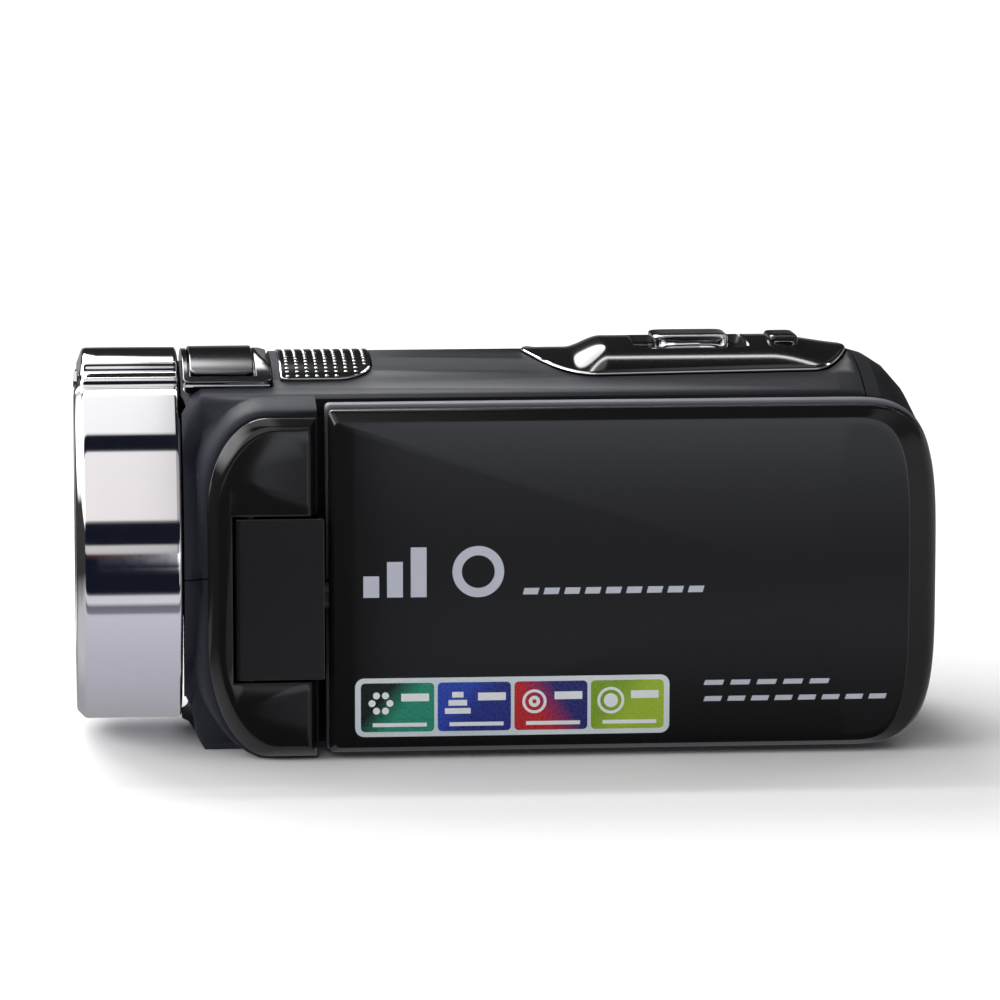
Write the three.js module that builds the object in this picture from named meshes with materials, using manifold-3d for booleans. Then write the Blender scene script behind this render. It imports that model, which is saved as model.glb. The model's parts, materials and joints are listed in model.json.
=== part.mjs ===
// A pocket camcorder with a swing-out screen, a chrome lens ring and a hand strap.
// Millimetres, +Z up. The lens looks along -X, the screen is on the -Y side and the
// hand strap on the +Y side. The origin is on the base plane, below the lens axis,
// at half the length of the casing.
import * as THREE from "three";
import { mergeVertices } from "three/addons/utils/BufferGeometryUtils.js";
import Module from "manifold-3d";

const wasm = await Module();
wasm.setup();

// ---- Driving dimensions --------------------------------------------------------

// Casing
const bodyLength = 122.6; // lens ring's front to the rear of the casing
const rearProud = 1.2; // how far the record button stands behind the casing
const ringLength = 15; // chrome ring in front of the shells
const axisHeight = 27.4; // lens axis above the base
const crownHeight = 54; // top of the casing above the base
const gripWidth = 26.4; // lens axis to the hand side
const sideDepth = 18; // lens axis to the wall behind the screen panel
const noseDepth = 24.6; // lens axis to the casing behind the hinge cover
const wall = 2;
const seam = 0.2; // gap between fixed pieces
const running = 0.3; // gap between moving pieces
const splitHeight = 25.4; // parting plane of upper and lower shell
const rearRound = 14.8; // length over which the rear closes
const noseGrow = 2.4; // how far the cushion round the hinge cover spreads
const capLength = 11.3; // rear cap, seam to rear
const crownRadius = 37.5; // cross curvature of the top on the screen side

// Lens and lamp
const ringRadius = 25.5;
const ringBore = 21.5;
const ringChamfer = 1;
const humpRise = 2; // lamp hump above the ring
const humpHalfAngle = 24.5; // degrees each side of the vertical
const lensTubeRadius = 11;
const lensTubeLength = 26;
const hoodDepth = 9;
const glassRadius = 9;

// Screen panel and hinge
const panelDepth = 27.2; // lens axis to the outer face of the panel
const panelBottom = 0.7;
const panelTop = 49.4;
const panelFront = 34.6; // front of the ring to the front edge of the panel
const panelRearInset = 2; // rear of the casing to the rear edge of the panel
const frameThickness = 3.9;
const panelGap = 0.5; // panel to the wall behind it
const screenLength = 66.4;
const screenHeight = 37.4;
const hingeCoverFront = 18; // front of the ring to the front of the hinge cover
const coverGap = 1.1; // hinge cover to panel
const armBottom = 11.5;
const armTop = 34.1;
const armLength = 12.3;
const rearCurve = 14; // length over which the panel's rear curves
const rearPower = 4; // squareness of that curve
const swingPinRadius = 1;
const swingPinInset = 2; // pin axis from the arm's outer face and from its front end
const tiltShaftRadius = 2.2;

// Battery
const batteryLength = 53;
const batteryWidth = 35.2;
const batteryThickness = 11.6;
const doorHingeRadius = 1.6;
const doorThickness = 1.8;
const batteryX = -14; // front end of the battery
const batteryY = 5.5; // its face nearest the lens axis

// Top controls
const platformFront = 2;
const platformEnd = 49;
const platformRise = 1.9; // platform above the crown
const leverX = 25.9;
const leverLength = 10.9;
const leverRise = 2.8; // lever above the crown
const buttonX = 39.3;
const buttonLength = 4.3;
const buttonRise = 2.6;
const leverTravel = 2;
const recordRadius = 5.5;
const rearKeyRadius = 3;
const bayKeyRadius = 2.3;

// Tripod socket, a quarter inch
const socketRadius = 3.175;
const socketDepth = 6;

// Hand strap
const strapWidth = 22;
const strapThickness = 1.6;
const strapRise = 26; // casing to the strap's outer face, half way along
const padLength = 62;
const padWidth = 33;
const padThickness = 5;
const barRadius = 1.4;

// ---- Places worked out from them -----------------------------------------------

const frontX = -(bodyLength + rearProud) / 2;
const rearX = frontX + bodyLength;
const shellX = frontX + ringLength;
const capX = rearX - capLength;
const roundX = rearX - rearRound;
const hingeX = frontX + hingeCoverFront;
const panelX = frontX + panelFront;
const panelEndX = rearX - panelRearInset;
const coverEndX = panelX - coverGap;
const armEndX = panelX - running;
const armX = armEndX - armLength;
const panelMidZ = (panelBottom + panelTop) / 2;
const tiltZ = (armBottom + armTop) / 2;
const panelInnerY = -sideDepth - panelGap;
const tiltY = -(panelDepth + sideDepth + panelGap) / 2;
const swingX = armX + swingPinInset;
const swingY = -panelDepth + swingPinInset;
const crownRise = crownHeight - axisHeight;
const strapBarY = gripWidth + 4.2;
const strapFrontX = shellX + 14;
const strapEndX = capX - 4;
const strapMidX = (strapFrontX + strapEndX) / 2;

// ---- Small helpers ---------------------------------------------------------------

const ROUND = 20; // sides of a small cylinder
const sectionCount = 40; // points round the casing
const rad = (degrees) => (degrees * Math.PI) / 180;
const steps = (from, to, count) =>
  Array.from({ length: count + 1 }, (_, i) => from + ((to - from) * i) / count);

// Local x, y, z of a profile laid onto world axes.
const ALONG_X = new THREE.Matrix4().makeBasis(
  new THREE.Vector3(0, 1, 0), new THREE.Vector3(0, 0, 1), new THREE.Vector3(1, 0, 0));
const LATHE_X = new THREE.Matrix4().makeBasis(
  new THREE.Vector3(0, 0, 1), new THREE.Vector3(1, 0, 0), new THREE.Vector3(0, 1, 0));

// A closed mesh as a solid, with its faces turned outwards.
function solidOf(geometry) {
  const g = geometry.clone();
  g.deleteAttribute("normal");
  g.deleteAttribute("uv");
  const merged = mergeVertices(g, 1e-4);
  const vertProperties = new Float32Array(merged.attributes.position.array);
  const index = Array.from(merged.index.array);
  const build = (order) => new wasm.Manifold(
    new wasm.Mesh({ numProp: 3, vertProperties, triVerts: new Uint32Array(order) }));
  const solid = build(index);
  return solid.volume() > 0 ? solid : build(index.reverse());
}

function geometryOf(solid) {
  const mesh = solid.getMesh();
  const g = new THREE.BufferGeometry();
  g.setAttribute("position", new THREE.BufferAttribute(new Float32Array(mesh.vertProperties), 3));
  g.setIndex(new THREE.BufferAttribute(new Uint32Array(mesh.triVerts), 1));
  g.computeVertexNormals();
  return g;
}

// A box between two corners.
function box(x0, x1, y0, y1, z0, z1) {
  const g = new THREE.BoxGeometry(x1 - x0, y1 - y0, z1 - z0);
  return solidOf(g.translate((x0 + x1) / 2, (y0 + y1) / 2, (z0 + z1) / 2));
}

// A round bar from one point along an axis.
function bar(axis, from, length, radius, sides = ROUND, endRadius = radius) {
  const g = new THREE.CylinderGeometry(endRadius, radius, length, sides).translate(0, length / 2, 0);
  if (axis === "x") g.rotateZ(-Math.PI / 2);
  if (axis === "z") g.rotateX(Math.PI / 2);
  return solidOf(g.translate(...from));
}

// An outline in X and Z, carried along Y from y0 to y1, with optional rounded rims.
function slab(points, y0, y1, rim = 0) {
  const shape = new THREE.Shape(points.map(([x, z]) => new THREE.Vector2(x, z)));
  const g = new THREE.ExtrudeGeometry(shape, {
    depth: y1 - y0 - 2 * rim,
    bevelEnabled: rim > 0,
    bevelThickness: rim,
    bevelSize: rim,
    bevelOffset: -rim,
    bevelSegments: 3,
  });
  return solidOf(g.rotateX(Math.PI / 2).translate(0, y1 - rim, 0));
}

// An outline in X and Y, carried up from z0 to z1.
function plate(points, z0, z1) {
  const shape = new THREE.Shape(points.map(([x, y]) => new THREE.Vector2(x, y)));
  const g = new THREE.ExtrudeGeometry(shape, { depth: z1 - z0, bevelEnabled: false });
  return solidOf(g.translate(0, 0, z0));
}

// A profile of [x, radius] pairs, turned about the lens axis.
function turned(profile, sides = 36) {
  const g = new THREE.LatheGeometry(profile.map(([x, r]) => new THREE.Vector2(r, x)), sides);
  return solidOf(g.applyMatrix4(LATHE_X).translate(0, 0, axisHeight));
}

// An arc's points about (cx, cy), in degrees, with its own radius along each axis.
function arc(cx, cy, rx, ry, from, to, count = 6) {
  return steps(from, to, count).map((a) => [cx + rx * Math.cos(rad(a)), cy + ry * Math.sin(rad(a))]);
}

// A rounded rectangle's outline between two corners.
function roundedRectangle(x0, x1, y0, y1, radius, count = 4) {
  return [
    ...arc(x1 - radius, y1 - radius, radius, radius, 0, 90, count),
    ...arc(x0 + radius, y1 - radius, radius, radius, 90, 180, count),
    ...arc(x0 + radius, y0 + radius, radius, radius, 180, 270, count),
    ...arc(x1 - radius, y0 + radius, radius, radius, 270, 360, count),
  ];
}

// A closed skin through rings of equal point count, flat at both ends.
function loft(rings) {
  const count = rings[0].length;
  const vertices = rings.flat();
  const centre = (ring) => ring.reduce((s, p) => s.map((v, k) => v + p[k] / count), [0, 0, 0]);
  vertices.push(centre(rings[0]), centre(rings[rings.length - 1]));
  const index = [];
  const at = (i, j) => i * count + (j % count);
  for (let i = 0; i + 1 < rings.length; i++)
    for (let j = 0; j < count; j++)
      index.push(at(i, j), at(i, j + 1), at(i + 1, j), at(i, j + 1), at(i + 1, j + 1), at(i + 1, j));
  const last = rings.length - 1;
  for (let j = 0; j < count; j++) {
    index.push(vertices.length - 2, at(0, j + 1), at(0, j));
    index.push(vertices.length - 1, at(last, j), at(last, j + 1));
  }
  const g = new THREE.BufferGeometry();
  g.setAttribute("position", new THREE.BufferAttribute(new Float32Array(vertices.flat()), 3));
  g.setIndex(index);
  return solidOf(g);
}

// ---- The form of the casing -------------------------------------------------------

// Each cross section is measured outwards from the lens axis in the direction (dy, dz).
const superRadius = (dy, dz, a, b, n) => (Math.abs(dy / a) ** n + Math.abs(dz / b) ** n) ** (-1 / n);
const toPlane = (d, distance) => (d > 1e-6 ? distance / d : Infinity);
const softMin = (a, b, k) => Math.min(a, b) - (Math.max(k - Math.abs(a - b), 0) / k) ** 2 * k / 4;

// Distance to the crown, an arc across the top whose centre is below the lens axis.
function crownDistance(dz, inset) {
  const radius = crownRadius - inset;
  const centre = crownRise - crownRadius;
  return centre * dz + Math.sqrt((centre * dz) ** 2 + radius ** 2 - centre ** 2);
}

// The main section: round on the hand side, flat below and behind the screen.
function mainDistance(dy, dz, inset = 0) {
  const floor = toPlane(-dz, axisHeight - inset);
  if (dy >= 0) {
    const round = dz >= 0
      ? superRadius(dy, dz, gripWidth - inset, crownRise - inset, 2.3)
      : superRadius(dy, dz, gripWidth - inset, axisHeight - inset + 0.6, 4.5);
    return softMin(round, floor, 0.4);
  }
  const flat = toPlane(-dy, sideDepth - inset);
  const top = dz >= 0 ? crownDistance(dz, inset) : floor;
  return softMin(flat, top, 1.2);
}

// Directions round a section: even steps, and closer ones at the two screen-side edges.
const edgeAngle = (z) => (Math.atan2(z, -sideDepth) * 180) / Math.PI + 360;
const crownEdge = crownRise - crownRadius + Math.sqrt(crownRadius ** 2 - sideDepth ** 2);
function sectionAngles(count) {
  const edges = [edgeAngle(crownEdge) % 360, edgeAngle(-axisHeight) % 360];
  const close = edges.flatMap((a) => [a - 3, a - 1, a + 1, a + 3]);
  const even = steps(0, 360, count).slice(0, -1).filter((a) => edges.every((e) => Math.abs(a - e) > 3.5));
  return [...even, ...close].sort((p, q) => p - q);
}

// One ring of the section at x; the rear closes like a rounded cushion.
function ring(x, distance, count, inset = 0) {
  const tall = Math.max(0, (x - roundX + inset) / rearRound);
  const broad = Math.max(0, (x - roundX + inset - rearRound * 0.6) / (rearRound * 0.4));
  const sz = Math.max(1e-3, 1 - Math.min(1, tall) ** 2.5) ** 0.4;
  const sy = Math.max(1e-3, 1 - Math.min(1, broad) ** 2.5) ** 0.4;
  const middle = (gripWidth - sideDepth) / 2;
  return sectionAngles(count).map((a) => {
    const [dy, dz] = [Math.cos(rad(a)), Math.sin(rad(a))];
    const r = distance(dy, dz);
    return [x, middle + (r * dy - middle) * sy, axisHeight + r * dz * sz];
  });
}

const clamp = (value) => Math.min(1, Math.max(0, value));
const smooth = (value) => clamp(value) ** 2 * (3 - 2 * clamp(value));

// Front of the casing: a round collar that grows into the main section, at once above,
// below and on the hand side, and behind the hinge cover on the screen side.
function frontBlock() {
  const collar = ringRadius + seam;
  const stations = [0, 0.9, 1.8, 2.8, 5.5, 8.5, 11.5, 14.5].map((d) => shellX + d).concat(coverEndX);
  return loft(stations.map((x) => ring(x, (dy, dz) => {
    const near = smooth((x - shellX) / 2.8);
    const slow = smooth((x - shellX) / 10);
    const share = clamp(Math.max(0.5 + 4 * dy, (Math.abs(dz) - 0.5) / 0.25));
    return collar + (mainDistance(dy, dz) - collar) * (slow + (near - slow) * share);
  }, sectionCount)));
}

// The raised cushion that carries the hinge cover, wider towards the casing.
function noseRing(y, grow) {
  const x0 = hingeX - grow;
  const z0 = Math.max(0, 0.3 - grow);
  const z1 = panelTop - 1.2 + grow * 0.8;
  return [
    ...arc(x0 + 8.4 + grow, z1 - 13, 8.4 + grow, 13, 90, 180, 10),
    ...arc(x0 + 8.4 + grow, z0 + 16, 8.4 + grow, 16, 180, 270, 10),
    [coverEndX, z0], [coverEndX, z1],
  ].map(([x, z]) => [x, y, z]);
}

function noseBlock() {
  const depth = noseDepth - sideDepth + 5;
  return loft(steps(0, 1, 8).map((t) => noseRing(-noseDepth + depth * (1 - Math.cos((t * Math.PI) / 2)),
    noseGrow * Math.sin((t * Math.PI) / 2))));
}

function mainBlock(inset, from, count, rearSteps) {
  const end = rearX - inset;
  const rears = steps(0, 1, rearSteps).map((t) => roundX - inset + rearRound * Math.sin((t * Math.PI) / 2));
  const all = [from, ...rears.map((x) => Math.min(x, end - 0.02))];
  const stations = all.filter((x, i) => !i || x - all[i - 1] > 0.01);
  return loft(stations.map((x) => ring(x, (dy, dz) => mainDistance(dy, dz, inset), count, inset)));
}

const casing = frontBlock().add(noseBlock()).add(mainBlock(0, coverEndX - 1, sectionCount, 8))
  .subtract(mainBlock(wall, shellX - 1, 24, 5));
const far = 200;
const above = box(-far, far, -far, far, splitHeight + seam / 2, far);
const below = box(-far, far, -far, far, -far, splitHeight - seam / 2);
const ahead = box(-far, capX - seam / 2, -far, far, -far, far);
const behind = box(capX + seam / 2, far, -far, far, -far, far);

// A band that follows the crown between two heights over it.
function crownBand(x0, x1, y0, y1, lower, upper) {
  const centre = crownHeight - crownRadius;
  const edge = (y, rise) => [y, centre + Math.sqrt((crownRadius + rise) ** 2 - y ** 2)];
  const points = [
    ...steps(y0, y1, 10).map((y) => edge(y, upper)),
    ...steps(y1, y0, 10).map((y) => edge(y, lower)),
  ];
  const shape = new THREE.Shape(points.map(([y, z]) => new THREE.Vector2(y, z)));
  const g = new THREE.ExtrudeGeometry(shape, { depth: x1 - x0, bevelEnabled: false });
  return solidOf(g.applyMatrix4(ALONG_X).translate(x0, 0, 0));
}

// ---- Front: chrome ring, lamp, hood and lens --------------------------------------

const ringEnd = shellX - seam;

function lensRing() {
  const c = ringChamfer;
  const sleeve = turned([
    [frontX, ringBore], [frontX, ringRadius - c], [frontX + c, ringRadius],
    [ringEnd, ringRadius], [ringEnd, ringBore], [frontX, ringBore],
  ], 56);
  return sleeve.add(lampHump()).subtract(lampPocket());
}

// A raised sector over the ring, which holds the lamp.
function sector(inner, outer, halfAngle, x0, x1) {
  const from = 90 - halfAngle;
  const to = 90 + halfAngle;
  const points = [
    ...arc(0, axisHeight, outer, outer, from, to, 10),
    ...arc(0, axisHeight, inner, inner, to, from, 10),
  ];
  const shape = new THREE.Shape(points.map(([y, z]) => new THREE.Vector2(y, z)));
  const g = new THREE.ExtrudeGeometry(shape, { depth: x1 - x0, bevelEnabled: false });
  return solidOf(g.applyMatrix4(ALONG_X).translate(x0, 0, 0));
}

const lampInner = ringBore + 1.2;
const lampOuter = ringRadius + humpRise - 1.4;
const lampHalfAngle = humpHalfAngle - 6;
const lampDepth = 6;

function lampHump() {
  const base = ringRadius - 1;
  const top = ringRadius + humpRise;
  return sector(base, top - 0.6, humpHalfAngle, frontX + 0.6, ringEnd)
    .add(sector(base, top, humpHalfAngle - 1.5, frontX + 1.4, ringEnd));
}

const lampPocket = () => sector(lampInner, lampOuter, lampHalfAngle, frontX - 1, frontX + lampDepth);

function lampWindow() {
  return sector(lampInner + seam, lampOuter - seam, lampHalfAngle - 1, frontX + 0.7, frontX + 2.2);
}

function lampModule() {
  return sector(lampInner + 0.5, lampOuter - 0.5, lampHalfAngle - 3, frontX + 3, frontX + lampDepth - seam);
}

const glassX = frontX + hoodDepth + 1.2;

function hood() {
  const wallHood = 1.2;
  return turned([
    [frontX + 0.8, ringBore - seam], [frontX + 0.8, ringBore - 1], [frontX + hoodDepth, lensTubeRadius - 1],
    [frontX + hoodDepth + wallHood, lensTubeRadius - 1], [frontX + hoodDepth + wallHood, lensTubeRadius + 1],
    [frontX + 2.6, ringBore - seam], [frontX + 0.8, ringBore - seam],
  ]);
}

function lensTube() {
  const x0 = frontX + hoodDepth + 1.4;
  const x1 = frontX + hoodDepth + lensTubeLength;
  return turned([
    [x0, glassRadius + seam], [x0, lensTubeRadius], [x1, lensTubeRadius],
    [x1, glassRadius - 1.5], [x1 - 1.5, glassRadius - 1.5],
    [x1 - 1.5, glassRadius + seam], [x0, glassRadius + seam],
  ]);
}

function lensFlange() {
  const x0 = ringEnd - 2;
  return turned([
    [x0, lensTubeRadius + seam], [x0, ringBore - seam], [x0 + 1.6, ringBore - seam],
    [x0 + 1.6, lensTubeRadius + seam], [x0, lensTubeRadius + seam],
  ]);
}

// A lens element, bowed by its own amount on each side.
function element(x, edge, bowFront, bowRear, radius) {
  const side = (bow, from, to) => steps(from, to, 4).map((t) => bow * (1 - t * t));
  const shares = steps(0, 1, 4);
  const front = side(bowFront, 0, 1).map((b, i) => [x - b, shares[i] * radius]);
  const rear = side(bowRear, 0, 1).map((b, i) => [x + edge + b, shares[i] * radius]).reverse();
  return turned([...front, ...rear], 20);
}

const frontGlass = () => element(glassX + 3.4, 1.6, 2, 0.4, glassRadius);
const rearGlass = () => element(glassX + 13, 1.4, 0.8, 1, glassRadius);

function retainingRing() {
  const x0 = glassX + 0.6;
  return turned([
    [x0, glassRadius - 1.4], [x0, glassRadius], [x0 + 2.4, glassRadius],
    [x0 + 2.4, glassRadius - 0.6], [x0, glassRadius - 1.4],
  ]);
}

const sensorX = frontX + hoodDepth + lensTubeLength + seam;
const imageSensor = () => box(sensorX + 0.4, sensorX + 1.6, -4.2, 4.2, axisHeight - 3.4, axisHeight + 3.4);
const sensorBoard = () => box(sensorX + 1.8, sensorX + 3, -11, 11, axisHeight - 11, axisHeight + 11);

// ---- Top: lamp housing, grille, platform, lever and button ------------------------

const housingX = shellX + 0.3;
const housingEnd = housingX + 12.4;
const housingHalf = 14.5;
const deckEnd = housingEnd - 2.4;
const deckHalf = 12.5;
const housingRise = 0.6;
const deckRise = 0.9;
const seatDepth = 1; // how deep a crown piece sits in the shell

function lampHousing() {
  const outline = roundedRectangle(housingX, housingEnd, -housingHalf, housingHalf, 1.2, 3);
  const ramp = slab([
    [housingX, 40], [housingEnd + 1, 40], [housingEnd + 1, crownHeight - 1.2],
    [deckEnd + 0.6, crownHeight + housingRise], [housingX, crownHeight + housingRise],
  ], -20, 20);
  return crownBand(housingX, housingEnd, -housingHalf, housingHalf, -seatDepth, housingRise)
    .intersect(plate(outline, 40, 60)).intersect(ramp)
    .subtract(crownBand(housingX + 1 - seam, deckEnd + seam, -deckHalf - seam, deckHalf + seam, 0.3, 9));
}

function lampDeck() {
  const outline = roundedRectangle(housingX + 1, deckEnd, -deckHalf, deckHalf, 1.5, 4);
  return crownBand(housingX + 1, deckEnd, -deckHalf, deckHalf, 0.5, deckRise)
    .intersect(plate(outline, 40, 60));
}

const grilleX = housingEnd + 1.4;
const grilleLength = 12.9;
const grilleHalf = 13;
const grilleCorner = 5;
function grilleOutline(grow) {
  const x = grilleX + grilleLength - grilleCorner;
  const y = grilleHalf - grilleCorner;
  const radius = grilleCorner + grow;
  return [
    [grilleX - grow, -grilleHalf - grow], ...arc(x, -y, radius, radius, -90, 0, 5),
    ...arc(x, y, radius, radius, 0, 90, 5), [grilleX - grow, grilleHalf + grow],
  ];
}
const grilleBand = (grow, lower, upper) => crownBand(
  grilleX - 1, grilleX + grilleLength + 1, -grilleHalf - 1, grilleHalf + 1, lower, upper)
  .intersect(plate(grilleOutline(grow), 40, 70));
const speakerGrille = () => grilleBand(0, -0.9, 0.3);
const speaker = () => bar("z", [grilleX + grilleLength / 2, 0, crownHeight - wall - 5], 3.2, 5.6)
  .add(bar("z", [grilleX + grilleLength / 2, 0, crownHeight - wall - 2], 1, 4.6));
const microphone = () => bar("z", [housingX + 9, 8, crownHeight - wall - 5.4], 3, 2);

// The platform is a boat in plan: both ends are part ellipses, and it narrows a little rearwards.
const platformHalf = 12.9;
const platformNarrowing = 1.3;
const bowShare = 0.21; // of its length
const sternShare = 0.125;
function leaf(grow) {
  const length = platformEnd - platformFront + 2 * grow;
  const swell = (share, power) => (1 - (1 - Math.min(1, share)) ** 2) ** power;
  const half = (t) => (platformHalf + grow - platformNarrowing * t)
    * swell(t / bowShare, 0.62) * swell((1 - t) / sternShare, 0.75);
  const shares = steps(0, 1, 26).map((t) => (1 - Math.cos(t * Math.PI)) / 2);
  const x = (t) => platformFront - grow + t * length;
  return [
    ...shares.slice(0, -1).map((t) => [x(t), -half(t)]),
    ...shares.slice(1).reverse().map((t) => [x(t), half(t)]),
  ];
}

const leafBand = (grow, lower, upper) => crownBand(
  platformFront - 2, platformEnd + 2, -14.5, 14.5, lower, upper).intersect(plate(leaf(grow), 40, 70));

// The platform's side view: low tip, step up, level, then a slope to the rear.
function platformProfile() {
  const top = crownHeight + platformRise;
  return slab([
    [platformFront - 1, 40], [platformEnd + 1, 40], [platformEnd + 1, crownHeight - 0.6],
    [buttonX - 1.4, top - 0.3], [platformFront + 11.6, top], [platformFront + 10.1, crownHeight + 0.5],
    [platformFront - 1, crownHeight + 0.3],
  ], -30, 30);
}

const leverHalfY = [-6, 2];
const leverPocket = () => box(
  leverX - leverLength / 2 - leverTravel - running, leverX + leverLength / 2 + leverTravel + running,
  leverHalfY[0] - running - 9, leverHalfY[1] + running, crownHeight + 0.2, 70);
const stemHalf = 1.5;
const leverSlot = () => box(
  leverX - stemHalf - leverTravel - running, leverX + stemHalf + leverTravel + running,
  -2 - stemHalf - running, -2 + stemHalf + running, 40, 70);
const buttonWell = () => box(
  buttonX - buttonLength / 2 - running, buttonX + buttonLength / 2 + running,
  leverHalfY[0] - running, leverHalfY[1] + running, 40, 70);

function topPlatform() {
  return leafBand(-0.8, -seatDepth, platformRise + 0.4).intersect(platformProfile())
    .subtract(leverPocket()).subtract(leverSlot()).subtract(buttonWell());
}

const platformTrim = () => leafBand(0, -seatDepth, 0.5).subtract(leafBand(-0.6, -2, 2));

function zoomLever() {
  const [y0, y1] = leverHalfY;
  const low = crownHeight + 0.6;
  const top = crownHeight + leverRise;
  const half = leverLength / 2;
  const outline = [
    [leverX - half, low], [leverX + half, low], [leverX + half, low + 1.1],
    ...arc(leverX + half, top + 0.4, 3.6, 1.2, 270, 200, 4),
    ...arc(leverX - half, top + 0.4, 3.6, 1.2, 340, 270, 4),
    [leverX - half, low + 1.1],
  ];
  return slab(outline, y0, y1, 0.3)
    .add(box(leverX - stemHalf, leverX + stemHalf, -2 - stemHalf, -2 + stemHalf, crownHeight - 4, low + 0.5));
}

function shutterButton() {
  const [y0, y1] = leverHalfY;
  const half = buttonLength / 2;
  const top = crownHeight + buttonRise;
  const outline = [
    [buttonX - half, crownHeight - 4], [buttonX + half, crownHeight - 4],
    ...arc(buttonX + half - 1, top - 1, 1, 1, 0, 90, 4),
    ...arc(buttonX - half + 1, top - 1, 1, 1, 90, 180, 4),
  ];
  return slab(outline, y0, y1, 0.3).subtract(bar("x", [buttonX - 5, y0 - 2.2, top + 1.6], 10, 3.2));
}

// ---- Screen, its arm and the hinge cover -------------------------------------------

// The panel's outline: straight at the hinge, and one soft curve round the rear.
function panelOutline(hinge, edge, rear) {
  const x0 = panelX + hinge;
  const z0 = panelBottom + edge;
  const z1 = panelTop - edge;
  const half = (z1 - z0) / 2;
  const startX = panelEndX - rearCurve;
  const curve = steps(-90, 90, 22).map((a) => [
    startX + (rearCurve - rear) * Math.cos(rad(a)) ** (2 / rearPower),
    panelMidZ + half * Math.sign(a) * Math.abs(Math.sin(rad(a))) ** (2 / rearPower),
  ]);
  return [
    ...arc(x0 + 0.8, z1 - 0.8, 0.8, 0.8, 90, 180, 2),
    ...arc(x0 + 0.8, z0 + 0.8, 0.8, 0.8, 180, 270, 2),
    ...curve,
  ];
}

const panelRing = (y, hinge, edge, rear) => panelOutline(hinge, edge, rear).map(([x, z]) => [x, y, z]);
const coverInnerY = -sideDepth - panelGap - frameThickness - seam;
const displayX = panelX + 9;
const displayZ = panelMidZ - screenHeight / 2;
const tiltBore = () => bar("x", [panelX - 1, tiltY, tiltZ], 9.2, tiltShaftRadius + running);
const window = (grow, y0, y1) => box(
  displayX - grow, displayX + screenLength + grow, y0, y1, displayZ - grow, displayZ + screenHeight + grow);

function screenCover() {
  const y = coverInnerY;
  const shell = loft([
    panelRing(y, 0.2, 0, 0), panelRing(y - 1.6, 0.1, 0.1, 0.3), panelRing(y - 3, 0.1, 0.6, 1.2),
    panelRing(y - 4, 0.3, 1.4, 2.8), panelRing(-panelDepth, 0.8, 2.8, 5.4),
  ]);
  return shell.subtract(window(2.4, y - 2.2, y + 1)).subtract(tiltBore());
}

function screenFrame() {
  const y0 = coverInnerY + seam;
  const shell = loft([
    panelRing(y0, 0.2, 0.5, 0.6), panelRing(y0 + 0.6, 0.2, 0.3, 0.4),
    panelRing(panelInnerY - 0.8, 0.2, 0.3, 0.4), panelRing(panelInnerY, 0.6, 0.9, 1),
  ]);
  return shell.subtract(window(0, y0 - 1, panelInnerY + 1)).subtract(window(1.2, y0 - 1, panelInnerY - 1.4))
    .subtract(tiltBore());
}

const screenGlass = () => window(-seam, panelInnerY - 1.3, panelInnerY - 0.4);
const screenBacklight = () => window(1, coverInnerY + 0.4, panelInnerY - 1.6);
const screenBoard = () => window(1.6, coverInnerY - 1.8, coverInnerY - 0.2);

const armInnerY = -sideDepth - 1.5;
function hingeArm() {
  const outline = [
    ...arc(armX + 0.6, -panelDepth + 0.6, 0.6, 0.6, 180, 270, 3), [armEndX, -panelDepth],
    [armEndX, armInnerY], ...arc(armX + 0.8, armInnerY - 0.8, 0.8, 0.8, 90, 180, 3),
  ];
  return plate(outline, armBottom, armTop)
    .subtract(bar("z", [swingX, swingY, armBottom - 1], armTop - armBottom + 2, swingPinRadius + running))
    .subtract(bar("x", [armEndX - 5, tiltY, tiltZ], 6, tiltShaftRadius + seam));
}

const pinReach = 2.4;
const pinLength = armTop - armBottom + 2 * pinReach;
const pinBar = (spare, radius) => bar(
  "z", [swingX, swingY, armBottom - pinReach - spare], pinLength + 2 * spare, radius);
const swingPin = () => pinBar(0, swingPinRadius);
const pinBore = () => pinBar(running, swingPinRadius + seam);
const tiltShaft = () => bar("x", [armEndX - 4.6, tiltY, tiltZ], 12, tiltShaftRadius);

const recessX = swingX - Math.hypot(swingPinInset, swingPinInset) - running;
const armRecess = () => box(
  recessX, coverEndX + 5, -40, armInnerY + 0.7, armBottom - running, armTop + running);

function hingeCoverRing(y, inset) {
  const x0 = hingeX + inset;
  const x1 = coverEndX - inset * 0.6;
  const z0 = 0.3 + inset;
  const z1 = panelTop - 1.2 - inset;
  return [
    ...arc(x0 + 8.4, z1 - 13, 8.4, 13, 90, 180, 9),
    ...arc(x0 + 8.4, z0 + 16, 8.4, 16, 180, 270, 9),
    [x1, z0], [x1, z0 + 8], [x1, z1 - 8], [x1, z1],
  ].map(([x, z]) => [x, y, z]);
}

function hingeCover() {
  const back = -noseDepth - running;
  return loft([
    hingeCoverRing(back, 0.2), hingeCoverRing(back - 1, 0.2),
    hingeCoverRing(back - 1.8, 0.6), hingeCoverRing(-panelDepth, 1.5),
  ]).subtract(armRecess()).subtract(pinBore());
}

// ---- Bay keys behind the screen -----------------------------------------------------

const bayKeyX = [-12, 0, 12];
const bayKeyZ = 40;
const bayKey = (x) => bar("y", [x, -sideDepth - 0.2, bayKeyZ], 3.4, bayKeyRadius)
  .add(bar("y", [x, -sideDepth + wall + 0.7, bayKeyZ], 1, bayKeyRadius + 0.8));
const bayKeyBore = (x) => bar("y", [x, -sideDepth - 1, bayKeyZ], wall + 2, bayKeyRadius + running);

// ---- Rear controls ------------------------------------------------------------------

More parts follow.
